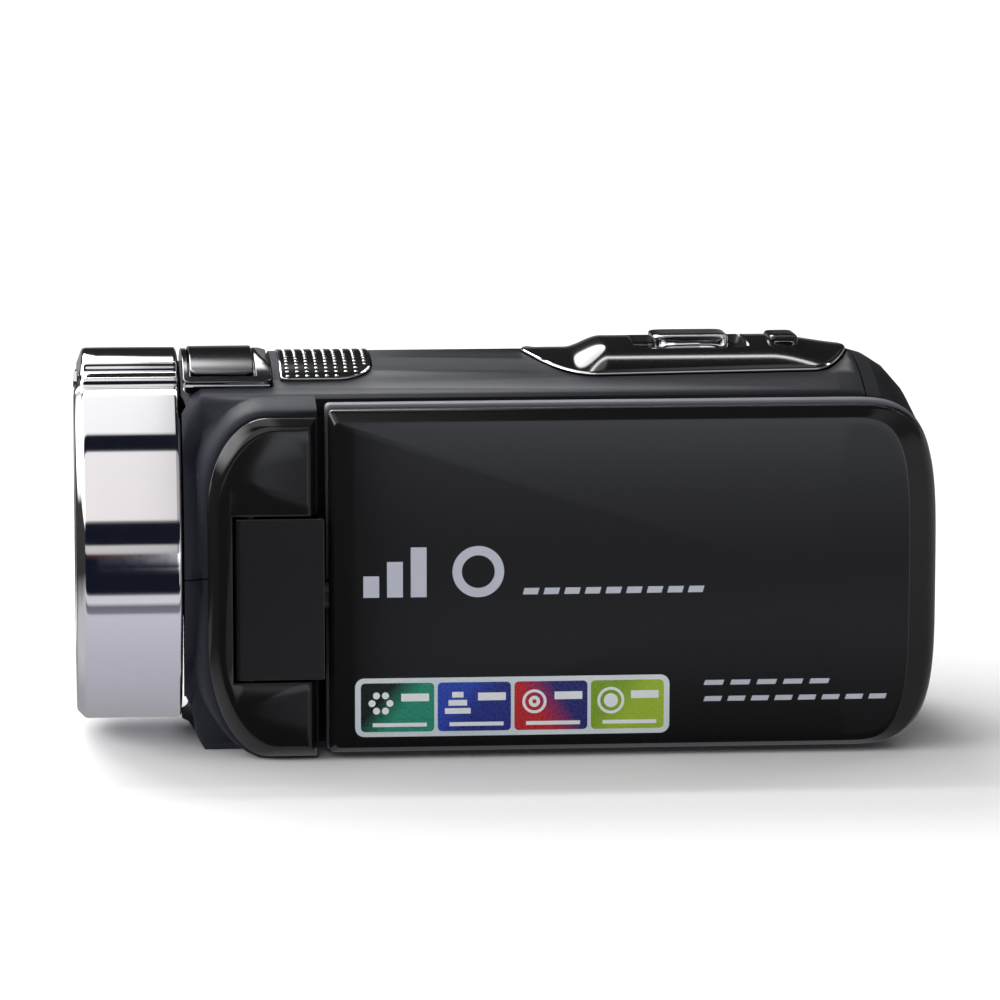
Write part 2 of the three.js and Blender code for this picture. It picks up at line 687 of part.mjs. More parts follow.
const recordY = 4;
const recordZ = axisHeight - 0.6;
const ringOuter = recordRadius + 3;
const recordButton = () => bar("x", [rearX - 5, recordY, recordZ], 5.6 + rearProud - 0.6, recordRadius - 0.2)
  .add(bar("x", [rearX - 4, recordY, recordZ], 4 + rearProud - 0.8, recordRadius))
  .intersect(box(rearX - 5, rearX + rearProud, -20, 30, 0, 60))
  .add(bar("x", [rearX - 7, recordY, recordZ], 2.4, 2));
const recordRing = () => bar("x", [rearX - 1.6, recordY, recordZ], 2, ringOuter, 32)
  .subtract(bar("x", [rearX - 3, recordY, recordZ], 5, recordRadius + running, 32));
const recordWell = () => bar("x", [rearX - 1.8, recordY, recordZ], 6, ringOuter + seam, 32)
  .add(bar("x", [rearX - 10, recordY, recordZ], 10, recordRadius + running, 32));

const rearKeyZ = [axisHeight + 11.6, axisHeight - 15.4];
const rearKey = (z) => bar("x", [rearX - 6.5, recordY, z], 5.9, rearKeyRadius)
  .add(bar("x", [rearX - 7.4, recordY, z], 1, 1.6));
const rearKeyBore = (z) => bar("x", [rearX - 12, recordY, z], 14, rearKeyRadius + running);
const lampZ = axisHeight + 10;
const statusLamp = () => bar("x", [rearX - 5, recordY - 10, lampZ], 4.6, 1);
const statusLampBore = () => bar("x", [rearX - 9, recordY - 10, lampZ], 12, 1 + seam);

// ---- Battery, its door, latch, pin and contacts -----------------------------------------

const doorX = batteryX - 3;
const doorEndX = batteryX + batteryLength + 3;
const doorY = batteryY - 1.6;
const doorHingeY = batteryY + batteryThickness + 0.6;
const doorHingeZ = doorHingeRadius;
const batteryZ = 2 * doorHingeRadius + 0.5;
const doorGap = running;

const battery = () => slab(
  roundedRectangle(batteryX, batteryX + batteryLength, batteryZ, batteryZ + batteryWidth, 2, 3),
  batteryY, batteryY + batteryThickness, 0.8);

function batteryDoor() {
  return box(doorX, doorEndX, doorY, doorHingeY, 0, doorThickness)
    .add(bar("x", [doorX, doorHingeY, doorHingeZ], doorEndX - doorX, doorHingeRadius))
    .subtract(bar("x", [doorX - 1, doorHingeY, doorHingeZ], doorEndX - doorX + 2, 0.7 + running, 16));
}

const doorPin = () => bar("x", [doorX - 2.6, doorHingeY, doorHingeZ], doorEndX - doorX + 5.2, 0.7, 16);
const doorOpening = () => box(
  doorX - doorGap, doorEndX + doorGap, doorY - doorGap, doorHingeY + doorHingeRadius + doorGap, -1, wall + 2)
  .add(bar("x", [doorX - 2.9, doorHingeY, doorHingeZ], doorEndX - doorX + 5.8, 0.7 + seam, 16));

// The room that the battery slides through, down to the door.
const batteryBay = () => box(batteryX - running, batteryX + batteryLength + running,
  batteryY - running, batteryY + batteryThickness + running, -1, batteryZ + batteryWidth + running);

const latchX = 26;
const latchLength = 9;
const latchTravel = 1.6;
const latchY = doorY - doorGap - 4.6;
const latchWidth = 4.2;
const doorLatch = () => box(latchX, latchX + latchLength, latchY, latchY + latchWidth, 0.4, 1.5)
  .add(box(latchX + 1.5, latchX + 7.5, latchY + 1.2, latchY + 3, 1.4, 3.6));
const latchWell = () => box(
  latchX - running, latchX + latchLength + running,
  latchY - latchTravel - running, latchY + latchWidth + 0.25, -1, 1.75)
  .add(box(latchX + 1.2, latchX + 7.8, latchY + 1.2 - latchTravel - running, latchY + 3.3, -1, 5));

const contactX = batteryX + batteryLength + 0.3;
const batteryContacts = () => box(
  contactX, contactX + 1.6, batteryY + 1, batteryY + 10.6, batteryZ + 20, batteryZ + 32);

// ---- Boards, sockets and card -------------------------------------------------------------

const boardY = -12.6;
const mainBoard = () => box(-20, 42, boardY, boardY + 1.4, 7, 46);
const cardSocket = () => box(14, 40, boardY + 1.6, boardY + 4.8, 10, 36)
  .subtract(box(13, 38.4, boardY + 2.1, boardY + 4.3, 10.8, 35.2));
const memoryCard = () => box(10, 38, boardY + 2.3, boardY + 4.1, 11.1, 34.9);

const portX = 20;
const portEndX = 41;
const portBottom = 5.4;
const portTop = 14;
const portDepth = 1.6;
const portBox = (grow) => box(
  portX - grow, portEndX + grow, gripWidth - 7, 40, portBottom - grow, portTop + grow);
const portPatch = () => portBox(0)
  .intersect(mainBlock(0.1, 10, sectionCount, 6))
  .subtract(mainBlock(portDepth, 10, sectionCount, 6));
const socketY = batteryY + batteryThickness + 0.3;
const socketDepthY = gripWidth - portDepth - 2.4 - socketY;
function portSocket(x, length, height) {
  const z = 9.2;
  return box(x, x + length, socketY, socketY + socketDepthY, z - height / 2, z + height / 2)
    .subtract(box(x + 0.5, x + length - 0.5, socketY + 1, 40, z - height / 2 + 0.5, z + height / 2 - 0.5));
}
const usbSocket = () => portSocket(22, 7.8, 4);
const videoSocket = () => portSocket(31, 9, 3.6);

// ---- Base: tripod socket and screws ----------------------------------------------------------

const tripodX = -24;
const tripodY = -4;
const tripodSocket = () => bar("z", [tripodX, tripodY, 0.2], socketDepth + 1.6, socketRadius + 1.6, 24)
  .add(bar("z", [tripodX, tripodY, wall + seam], 2, socketRadius + 4, 24))
  .subtract(bar("z", [tripodX, tripodY, -1], socketDepth + 1, socketRadius, 24));
const tripodBore = () => bar("z", [tripodX, tripodY, -1], wall + 2, socketRadius + 1.6 + seam, 24);

const screwPlaces = [[-37, -9], [-37, 13], [45, -11], [45, 15]];
const screwHead = 1.7;
const baseScrew = ([x, y]) => bar("z", [x, y, 0.4], 1.2, screwHead, 16)
  .add(bar("z", [x, y, 1.5], 7, 0.9, 12))
  .subtract(box(x - 1.1, x + 1.1, y - 0.25, y + 0.25, 0, 0.9))
  .subtract(box(x - 0.25, x + 0.25, y - 1.1, y + 1.1, 0, 0.9));
const screwHole = ([x, y]) => bar("z", [x, y, -1], 2.6, screwHead + seam, 16)
  .add(bar("z", [x, y, 1.4], 8, 0.9 + seam, 12));

// ---- Hand strap -----------------------------------------------------------------------------

const strapSpan = (strapEndX - strapFrontX) / 2;
const strapMidY = gripWidth + strapRise - strapThickness / 2;

// The strap's centre line in plan, bowed out from the bars, at a share t from -1 to 1.
function strapPoint(t, offset) {
  const rise = strapMidY - strapBarY;
  const x = strapMidX + strapSpan * t;
  const y = strapBarY + rise * (1 - Math.abs(t) ** 2.4);
  const slope = (-rise * 2.4 * Math.sign(t) * Math.abs(t) ** 1.4) / strapSpan;
  const length = Math.hypot(1, slope);
  return [x - (offset * slope) / length, y + offset / length];
}

function strapBand(inner, outer, reach, height, count) {
  const shares = steps(-reach, reach, count);
  const points = [
    ...shares.map((t) => strapPoint(t, inner)),
    ...shares.reverse().map((t) => strapPoint(t, outer)),
  ];
  return plate(points, axisHeight - height / 2, axisHeight + height / 2);
}

function strapWebbing() {
  const half = strapThickness / 2;
  const eye = barRadius + running;
  let strap = strapBand(-half, half, 1, strapWidth, 26);
  const bottom = axisHeight - strapWidth / 2;
  for (const x of [strapFrontX, strapEndX])
    strap = strap.add(bar("z", [x, strapBarY, bottom], strapWidth, eye + strapThickness, 20));
  for (const x of [strapFrontX, strapEndX])
    strap = strap.subtract(bar("z", [x, strapBarY, 0], 60, eye, 20));
  return strap;
}

const strapPad = () => strapBand(-strapThickness / 2 - 0.3 - padThickness, -strapThickness / 2 - 0.3,
  padLength / 2 / strapSpan, padWidth, 16);

// A bracket of two ears and a bar, whose ears enter the hand side of the casing.
const earRoot = gripWidth - 4;
const earHeights = [axisHeight - strapWidth / 2 - 2.4, axisHeight + strapWidth / 2 + 0.6];
function strapBracket(x, grow = 0) {
  let bracket = bar("z", [x, strapBarY, earHeights[0] + 0.2], strapWidth + 4.4, barRadius + grow, 16);
  const half = 2 + grow;
  for (const z of earHeights)
    bracket = bracket.add(
      box(x - half, x + half, earRoot - grow, strapBarY + 1.8, z - grow, z + 1.8 + grow));
  return bracket;
}

// ---- Shells -------------------------------------------------------------------------------

const crownSeats = () => crownBand(
  housingX - 3, housingEnd + seam, -housingHalf - seam, housingHalf + seam, -seatDepth - seam, 9)
  .add(grilleBand(seam, -0.9 - seam, 9)).add(leafBand(seam, -seatDepth - seam, 9));

const cuts = [
  crownSeats(), armRecess(), pinBore(), leverSlot(), buttonWell(), doorOpening(), batteryBay(), latchWell(),
  tripodBore(), portBox(running), recordWell(), statusLampBore(),
  strapBracket(strapFrontX, seam), strapBracket(strapEndX, seam),
  ...bayKeyX.map(bayKeyBore), ...rearKeyZ.map(rearKeyBore), ...screwPlaces.map(screwHole),
];
const shell = cuts.reduce((solid, cut) => solid.subtract(cut), casing);
const upperShell = () => shell.intersect(above).intersect(ahead);
const lowerShell = () => shell.intersect(below).intersect(ahead);
const rearCover = () => shell.intersect(behind);

// ---- Finishes and the scene ----------------------------------------------------------------

const finish = (color, roughness, metalness) => ({ color, roughness, metalness });
const charcoal = finish(0x3a3b42, 0.55, 0);
const glossBlack = finish(0x0a0a0c, 0.12, 0);
const chrome = finish(0xc9cacf, 0.12, 1);
const smokedChrome = finish(0x3b3c40, 0.2, 0.9);
const steel = finish(0x9b9da1, 0.35, 1);
const blackPlastic = finish(0x17171a, 0.5, 0);
const greyPlastic = finish(0x55565c, 0.6, 0);
const glass = finish(0x1c2430, 0.05, 0);
const board = finish(0x1d5a38, 0.5, 0);
const rubber = finish(0x202022, 0.85, 0);
const webbing = finish(0x1b1b1e, 0.9, 0);
const batteryFinish = finish(0x2b3138, 0.5, 0);
const red = finish(0xb02020, 0.3, 0);

const part = new THREE.Group();

function place(name, solid, look) {
  const mesh = new THREE.Mesh(geometryOf(solid), new THREE.MeshStandardMaterial(look));
  mesh.name = name;
  part.add(mesh);
}

place("lens_ring", lensRing(), chrome);
place("lamp_window", lampWindow(), glass);
place("lamp_module", lampModule(), steel);
place("hood", hood(), blackPlastic);
place("lens_tube", lensTube(), blackPlastic);
place("lens_flange", lensFlange(), blackPlastic);
place("front_glass", frontGlass(), glass);
place("rear_glass", rearGlass(), glass);
place("retaining_ring", retainingRing(), blackPlastic);
place("image_sensor", imageSensor(), glass);
place("sensor_board", sensorBoard(), board);
place("lamp_housing", lampHousing(), smokedChrome);
place("lamp_deck", lampDeck(), smokedChrome);
place("speaker_grille", speakerGrille(), glossBlack);
place("speaker", speaker(), steel);
place("microphone", microphone(), steel);
place("upper_shell", upperShell(), charcoal);
place("lower_shell", lowerShell(), charcoal);
place("rear_cover", rearCover(), charcoal);
place("top_platform", topPlatform(), glossBlack);
place("platform_trim", platformTrim(), chrome);
place("zoom_lever", zoomLever(), chrome);
place("shutter_button", shutterButton(), glossBlack);
place("hinge_cover", hingeCover(), glossBlack);
place("hinge_arm", hingeArm(), glossBlack);
place("swing_pin", swingPin(), steel);
place("tilt_shaft", tiltShaft(), steel);
place("screen_cover", screenCover(), glossBlack);
place("screen_frame", screenFrame(), greyPlastic);
place("screen_glass", screenGlass(), glass);
place("screen_backlight", screenBacklight(), steel);
place("screen_board", screenBoard(), board);
bayKeyX.forEach((x, i) => place(`bay_key_${i + 1}`, bayKey(x), greyPlastic));
place("record_button", recordButton(), red);
place("record_ring", recordRing(), chrome);
rearKeyZ.forEach((z, i) => place(`rear_key_${i + 1}`, rearKey(z), greyPlastic));
place("status_lamp", statusLamp(), glass);
place("battery", battery(), batteryFinish);
place("battery_door", batteryDoor(), charcoal);
place("door_pin", doorPin(), steel);
place("door_latch", doorLatch(), greyPlastic);
place("battery_contacts", batteryContacts(), steel);
place("main_board", mainBoard(), board);
place("card_socket", cardSocket(), steel);
place("memory_card", memoryCard(), blackPlastic);
place("port_cover", portPatch(), rubber);
place("usb_socket", usbSocket(), steel);
place("video_socket", videoSocket(), steel);
place("tripod_socket", tripodSocket(), steel);
screwPlaces.forEach((at, i) => place(`base_screw_${i + 1}`, baseScrew(at), steel));
place("strap_bracket_front", strapBracket(strapFrontX), blackPlastic);
place("strap_bracket_rear", strapBracket(strapEndX), blackPlastic);
place("strap_webbing", strapWebbing(), webbing);
place("strap_pad", strapPad(), rubber);

export default part;
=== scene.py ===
import json
import math

import bmesh
import bpy
import numpy as np
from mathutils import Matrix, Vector

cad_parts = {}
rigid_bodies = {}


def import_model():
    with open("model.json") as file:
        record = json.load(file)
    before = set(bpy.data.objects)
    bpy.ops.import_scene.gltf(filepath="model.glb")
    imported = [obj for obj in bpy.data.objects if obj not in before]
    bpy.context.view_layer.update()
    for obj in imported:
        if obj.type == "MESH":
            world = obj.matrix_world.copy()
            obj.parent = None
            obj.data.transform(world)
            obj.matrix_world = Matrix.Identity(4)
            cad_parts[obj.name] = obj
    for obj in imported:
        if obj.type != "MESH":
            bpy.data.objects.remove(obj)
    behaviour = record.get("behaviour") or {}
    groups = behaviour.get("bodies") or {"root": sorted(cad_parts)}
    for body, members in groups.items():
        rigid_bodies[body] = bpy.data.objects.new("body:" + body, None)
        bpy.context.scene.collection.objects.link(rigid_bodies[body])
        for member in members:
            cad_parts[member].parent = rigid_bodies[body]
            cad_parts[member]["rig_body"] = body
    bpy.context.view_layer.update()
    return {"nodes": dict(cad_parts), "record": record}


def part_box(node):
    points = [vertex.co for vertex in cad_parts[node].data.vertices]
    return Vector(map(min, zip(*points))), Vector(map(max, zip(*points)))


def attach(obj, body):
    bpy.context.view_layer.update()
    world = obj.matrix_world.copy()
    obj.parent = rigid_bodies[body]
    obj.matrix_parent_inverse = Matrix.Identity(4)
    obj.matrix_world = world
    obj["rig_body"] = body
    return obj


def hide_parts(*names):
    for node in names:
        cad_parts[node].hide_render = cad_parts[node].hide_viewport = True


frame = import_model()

bl_info = {
    "name": "Pocket camcorder",
    "version": (1, 0, 0),
    "blender": (4, 5, 0),
    "location": "3D View > Sidebar > Camcorder",
    "description": "Finishes a pocket camcorder round its packed frame",
    "category": "Object",
}

NODES = frame["nodes"]
MM = 0.001
TURN = 2 * math.pi


# ---- Places read from the frame, in millimetres ----


def box_mm(node):
    """Lowest and highest corner of a CAD node, in millimetres."""
    low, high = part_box(node)
    return np.array(low) / MM, np.array(high) / MM


def middle_of(node):
    """Middle of a CAD node's box, in millimetres."""
    return sum(box_mm(node)) / 2


RING_LOW, RING_HIGH = box_mm("lens_ring")
COVER_LOW, COVER_HIGH = box_mm("screen_cover")
FRAME_LOW, FRAME_HIGH = box_mm("screen_frame")
HINGE_LOW, HINGE_HIGH = box_mm("hinge_cover")
ARM_LOW, ARM_HIGH = box_mm("hinge_arm")
GRILLE_LOW, GRILLE_HIGH = box_mm("speaker_grille")
PLATFORM_LOW, PLATFORM_HIGH = box_mm("top_platform")
TRIM_LOW, TRIM_HIGH = box_mm("platform_trim")
LEVER_LOW, LEVER_HIGH = box_mm("zoom_lever")
SHUTTER_LOW, SHUTTER_HIGH = box_mm("shutter_button")
PAD_LOW, PAD_HIGH = box_mm("strap_pad")
STRAP_LOW, STRAP_HIGH = box_mm("strap_webbing")
CROWN_Z = box_mm("upper_shell")[1][2]
RING_RADIUS = 25.5
RING_BORE = 21.5
AXIS_Z = RING_LOW[2] + RING_RADIUS
CROWN_RADIUS = 37.5


# ---- Settings ----


def millimetres(name, about, default):
    return bpy.props.FloatProperty(name=name, description=about + ", in millimetres", default=default)


def tint(name, about, default):
    return bpy.props.FloatVectorProperty(name=name, description=about, subtype="COLOR", default=default)


class CamcorderSizes(bpy.types.PropertyGroup):
    """Sizes of the details that are finished here."""

    ring_facet: millimetres("Ring facet", "Facet on the chrome ring's front edge", 1.25)
    dot_pitch: millimetres("Dot pitch", "Distance between the grille's dots", 1.38)
    dot_radius: millimetres("Dot radius", "Radius of one dot of the grille", 0.31)
    panel_bevel: millimetres("Panel bevel", "Width of the slanted rim of the screen cover", 1.6)
    stitch_length: millimetres("Stitch", "Length of one stitch on the strap pad", 2.4)


class CamcorderColours(bpy.types.PropertyGroup):
    """Colours that a user would change."""

    shell: tint("Shell", "Matte casing", (0.021, 0.023, 0.032))
    gloss: tint("Gloss black", "Screen cover, hinge cover and platform", (0.0003, 0.0003, 0.0005))
    chrome: tint("Chrome", "Plated ring and trims", (0.86, 0.85, 0.87))
    smoked: tint("Smoked chrome", "Plated block behind the ring", (0.22, 0.21, 0.23))
    mark: tint("Marks", "Printed silver marks", (0.62, 0.65, 0.74))


# ---- Shader maths ----


def maths(operation, swapped=False):
    """A Python operator that becomes a maths node."""

    def apply(self, other):
        first, second = (other, self) if swapped else (self, other)
        return self.web.node("ShaderNodeMath", {"operation": operation}, {0: first, 1: second})

    return apply


class Wire:
    """A shader socket that can stand in Python sums, products and comparisons."""

    def __init__(self, web, socket):
        self.web = web
        self.socket = socket

    __add__ = __radd__ = maths("ADD")
    __sub__ = maths("SUBTRACT")
    __rsub__ = maths("SUBTRACT", swapped=True)
    __mul__ = maths("MULTIPLY")
    __truediv__ = maths("DIVIDE")
    __gt__ = maths("GREATER_THAN")


class Web:
    """The node tree of one material or world."""

    def __init__(self, tree):
        self.tree = tree

    def node(self, kind, settings=None, inputs=None, output=0):
        """Adds a node: its settings first, then the values or links of its sockets."""
        made = self.tree.nodes.new(kind)
        for key, value in (settings or {}).items():
            if key == "stops":
                self._stops(made.color_ramp, value)
            else:
                setattr(made, key, value)
        for key, value in (inputs or {}).items():
            if isinstance(value, Wire):
                self.tree.links.new(value.socket, made.inputs[key])
            else:
                made.inputs[key].default_value = value
        return Wire(self, made.outputs[output]) if len(made.outputs) else None

    @staticmethod
    def _stops(ramp, stops):
        while len(ramp.elements) < len(stops):
            ramp.elements.new(0.5)
        for element, (place, value) in zip(ramp.elements, stops):
            element.position = place
            element.color = (*value, 1) if isinstance(value, tuple) else (value, value, value, 1)

    def sine(self, value):
        return self.node("ShaderNodeMath", {"operation": "SINE"}, {0: value})

    def place(self):
        return self.node("ShaderNodeTexCoord", output="Object")

    def flat_map(self):
        return self.node("ShaderNodeTexCoord", output="UV")

    def parts(self, vector):
        """The x, y and z wires of a vector."""
        split = self.node("ShaderNodeSeparateXYZ", {}, {0: vector}).socket.node
        return [Wire(self, out) for out in split.outputs]

    def noise(self, vector, scale, detail=4.0, roughness=0.55):
        return self.node("ShaderNodeTexNoise", {}, {
            "Vector": vector, "Scale": scale, "Detail": detail, "Roughness": roughness})

    def grains(self, vector, scale):
        return self.node("ShaderNodeTexVoronoi", {}, {"Vector": vector, "Scale": scale})

    def ramp(self, value, stops):
        return self.node("ShaderNodeValToRGB", {"stops": stops}, {0: value})

    def blend(self, factor, a, b):
        colour = lambda c: c if isinstance(c, Wire) else (*c, 1.0)
        inputs = {0: factor, 6: colour(a), 7: colour(b)}
        return self.node("ShaderNodeMix", {"data_type": "RGBA"}, inputs, output=2)

    def strength(self, colour, by):
        return self.node("ShaderNodeVectorMath", {"operation": "SCALE"}, {0: colour, "Scale": by})

    def gain(self, first, second, by):
        """The sum of a colour and another one times its strength."""
        return self.node("ShaderNodeVectorMath", {"operation": "ADD"}, {0: first, 1: self.strength(second, by)})

    def bump(self, height, strength, distance):
        return self.node("ShaderNodeBump", {}, {"Strength": strength, "Distance": distance, "Height": height})


def surface(name, fixed, paint):
    """A material whose fixed values sit on the shader, and whose paint function links the rest."""
    material = bpy.data.materials.get(name)
    if material:
        return material
    material = bpy.data.materials.new(name)
    material.use_nodes = True
    web = Web(material.node_tree)
    shader = material.node_tree.nodes["Principled BSDF"]
    for key, value in fixed.items():
        shader.inputs[key].default_value = value
    for key, wire in paint(web).items():
        material.node_tree.links.new(wire.socket, shader.inputs[key])
    return material


def colours():
    return bpy.context.scene.camcorder_colours


def sizes():
    return bpy.context.scene.camcorder_sizes


# ---- Finishes ----


def finish(name, fixed=None):
    """Makes a paint function (web, place) into one that gives its material."""
    return lambda paint: lambda: surface(name, fixed or {}, lambda web: paint(web, web.place()))


def scaled(colour, by):
    return tuple(min(1, c * by) for c in colour)


@finish("matte_charcoal", {"Specular IOR Level": 0.12})
def charcoal(web, place):
    """Matte moulded casing: fine spark texture, a little mottled, with painted shade that darkens it towards
    the rear, so it reads paler towards the lens.
    """
    base = tuple(colours().shell)
    mottle = web.noise(place, 90.0)
    spark = web.noise(place, 4200.0, 3.0, 0.7)
    speck = web.ramp(web.noise(place, 5200.0, 1.0), [(0.66, 0.0), (0.74, 1.0)])
    x, _, _ = web.parts(place)
    # Painted shade: rearwards runs from 0 near the lens to 1 at the back, and blends the mottled casing colour
    # down to 0.42 of itself there.
    rearwards = web.ramp(x * 8.0 + 0.5, [(0.1, 0.0), (0.5, 0.5), (0.95, 1.0)])
    tone = web.blend(rearwards, web.blend(mottle, scaled(base, 0.86), scaled(base, 1.14)), scaled(base, 0.42))
    return {
        "Base Color": web.blend(speck * 0.35, tone, scaled(base, 2.6)),
        "Roughness": 0.44 + mottle * 0.14 + spark * 0.06,
        "Normal": web.bump(spark, 0.35, 0.00006),
    }


@finish("gloss_black", {"Coat Weight": 1.0, "Coat Roughness": 0.02, "IOR": 1.5})
def gloss_black(web, place):
    """Polished black: faint orange peel, specks of dust and soft smears."""
    peel = web.noise(place, 160.0, 2.0)
    dust = web.ramp(web.noise(place, 2600.0, 1.0), [(0.72, 0.0), (0.78, 1.0)])
    smear = web.noise(place, 30.0, 5.0)
    return {
        "Base Color": web.blend(dust * 0.3, tuple(colours().gloss), (0.01, 0.01, 0.012)),
        "Roughness": 0.02 + smear * 0.03 + dust * 0.15,
        "Normal": web.bump(peel, 0.05, 0.00003),
    }


@finish("bright_chrome", {"Metallic": 1.0})
def chrome(web, place):
    """Bright plating: almost a mirror, with soft waves and fine wiping marks."""
    base = tuple(colours().chrome)
    wave = web.noise(place, 70.0, 2.0)
    wiped = web.noise(place, 900.0, 4.0)
    return {
        "Base Color": web.blend(wiped, scaled(base, 0.95), base),
        "Roughness": 0.035 + wiped * 0.035,
        "Normal": web.bump(wave, 0.06, 0.00004),
    }


@finish("smoked_chrome", {"Metallic": 1.0})
def smoked_chrome(web, place):
    """Dark plating with a sparkling grain."""
    base = tuple(colours().smoked)
    spark = web.ramp(web.noise(place, 3800.0, 2.0, 0.8), [(0.5, 0.0), (0.72, 1.0)])
    wave = web.noise(place, 60.0, 2.0)
    return {
        "Base Color": web.blend(spark, base, scaled(base, 2.4)),
        "Roughness": 0.08 + spark * 0.12 + wave * 0.04,
        "Normal": web.bump(spark, 0.12, 0.00004),
    }


@finish("brushed_steel", {"Metallic": 1.0})
def steel(web, place):
    """Turned or stamped steel with brushed streaks along its length."""
    stretched = web.node("ShaderNodeMapping", {}, {"Vector": place, "Scale": (60.0, 2400.0, 2400.0)})
    streak = web.noise(stretched, 1.0, 3.0)
    return {
        "Base Color": web.blend(streak, (0.42, 0.43, 0.45), (0.66, 0.66, 0.68)),
        "Roughness": 0.24 + streak * 0.2,
        "Normal": web.bump(streak, 0.1, 0.00003),
    }


@finish("ribbed_lamp_glass", {"Coat Weight": 0.8})
def lamp_glass(web, place):
    """Ribbed clear lens over the lamp."""
    _, y, _ = web.parts(place)
    tone = web.noise(place, 200.0)
    return {
        "Base Color": web.blend(tone, (0.55, 0.57, 0.6), (0.85, 0.86, 0.88)),
        "Roughness": 0.06 + tone * 0.06,
        "Normal": web.bump(web.sine(y * 9000.0), 0.5, 0.00015),
    }


@finish("circuit_board")
def circuit_board(web, place):
    """Green solder mask with copper tracks and pads."""
    tracks = web.node("ShaderNodeTexBrick", {}, {
        "Vector": place, "Scale": 260.0, "Mortar Size": 0.06, "Color1": (0, 0, 0, 1), "Color2": (0, 0, 0, 1),
        "Mortar": (1, 1, 1, 1)}, output="Fac")
    pads = web.ramp(web.grains(place, 420.0), [(0.10, 1.0), (0.16, 0.0)])
    mask = web.blend(tracks, (0.012, 0.075, 0.035), (0.02, 0.13, 0.06))
    return {
        "Base Color": web.blend(pads, mask, (0.6, 0.45, 0.2)),
        "Roughness": 0.42 - pads * 0.15,
        "Normal": web.bump(tracks + pads, 0.3, 0.00008),
    }


def plain_plastic(name, base, rough, bump_height):
    """Moulded plastic of one colour, with grain, mottling and handling marks."""

    def paint(web):
        place = web.place()
        mottle = web.noise(place, 120.0)
        grain = web.noise(place, 3200.0, 3.0)
        return {
            "Base Color": web.blend(mottle, scaled(base, 0.85), scaled(base, 1.15)),
            "Roughness": rough - 0.05 + mottle * 0.12,
            "Normal": web.bump(grain, 0.25, bump_height),
        }

    return surface(name, {}, paint)


def coated_glass(name, colour):
    """Coated optical glass: dark, with a violet and green bloom that shifts over the lens."""

    def paint(web):
        place = web.place()
        bloom = web.noise(place, 45.0, 2.0)
        dust = web.ramp(web.noise(place, 2500.0, 1.0), [(0.74, 0.0), (0.8, 1.0)])
        return {
            "Base Color": web.blend(bloom, colour, (colour[2] * 0.9, colour[0] * 1.2, colour[1] * 1.6)),
            "Roughness": 0.02 + dust * 0.15,
        }

    return surface(name, {"Coat Weight": 1.0, "Coat Roughness": 0.02, "IOR": 1.6}, paint)


def woven(name, base, across, along):
    """Woven webbing on the piece's own map: ribs across it and thread bumps along it."""

    def paint(web):
        u, v, _ = web.parts(web.flat_map())
        rib = web.sine(u * along)
        thread = web.sine(v * across)
        cross = rib * thread
        fuzz = web.noise(web.place(), 2600.0, 3.0)
        tone = web.blend(cross * 0.5 + 0.5, scaled(base, 0.55), scaled(base, 1.7))
        return {
            "Base Color": web.blend(fuzz * 0.4, tone, scaled(base, 2.2)),
            "Roughness": 0.82 + fuzz * 0.12,
            "Normal": web.bump(cross + fuzz * 0.4, 0.8, 0.00018),
        }

    return surface(name, {"Sheen Weight": 0.25, "Sheen Roughness": 0.5}, paint)


def lacquer(name, base, far=None, metallic=0.0, rough=0.22, span=None):
    """Printed or lacquered label colour. It drifts to a second colour in soft clouds, or between
    two places [x, z] in millimetres."""
    far = far or base

    def paint(web):
        place = web.place()
        drift = web.noise(place, 40.0, 2.0)
        grain = web.noise(place, 2400.0, 2.0)
        if span:
            x, _, z = web.parts(place)
            (x0, z0), (x1, z1) = span
            reach = (x1 - x0) ** 2 + (z1 - z0) ** 2
            along = (x - x0 * MM) * ((x1 - x0) / MM / reach) + (z - z0 * MM) * ((z1 - z0) / MM / reach)
            drift = along * 0.97 + drift * 0.03
        return {
            "Base Color": web.blend(web.ramp(drift, [(0.35, 0.0), (0.65, 1.0)]), base, far),
            "Roughness": rough + grain * 0.12,
            "Normal": web.bump(grain, 0.08, 0.00003),
        }

    return surface(name, {"Metallic": metallic, "Coat Weight": 0.5, "Coat Roughness": 0.08}, paint)


def finish_for(slot):
    """The finish of one of the record's material slots."""
    makers = {
        "shell_charcoal": charcoal,
        "gloss_black": gloss_black,
        "chrome": chrome,
        "smoked_chrome": smoked_chrome,
        "steel": steel,
        "black_plastic": lambda: plain_plastic("black_plastic", (0.012, 0.012, 0.014), 0.48, 0.00006),
        "grey_plastic": lambda: plain_plastic("grey_plastic", (0.115, 0.118, 0.135), 0.4, 0.00005),
        "glass": lambda: coated_glass("coated_glass", (0.02, 0.012, 0.035)),
        "circuit_board": circuit_board,
        "rubber": lambda: plain_plastic("soft_rubber", (0.02, 0.02, 0.022), 0.75, 0.0001),
        "webbing": lambda: woven("strap_weave", (0.014, 0.014, 0.017), 3.6, 3.6),
        "pad_fabric": lambda: woven("pad_knit", (0.02, 0.02, 0.024), 4.4, 4.4),
        "battery_case": lambda: plain_plastic("battery_wrap", (0.05, 0.06, 0.075), 0.35, 0.00004),
        "red_button": lambda: lacquer("red_button", (0.32, 0.008, 0.008), (0.42, 0.015, 0.012)),
    }
    return makers[slot]()


SLOT_OF = {row["node"]: row["material_slot"] for row in frame["record"]["subparts"]}


# ---- Mesh making ----


def linked(name, data):
    """A new object in the scene."""
    item = bpy.data.objects.new(name, data)
    bpy.context.scene.collection.objects.link(item)
    return item


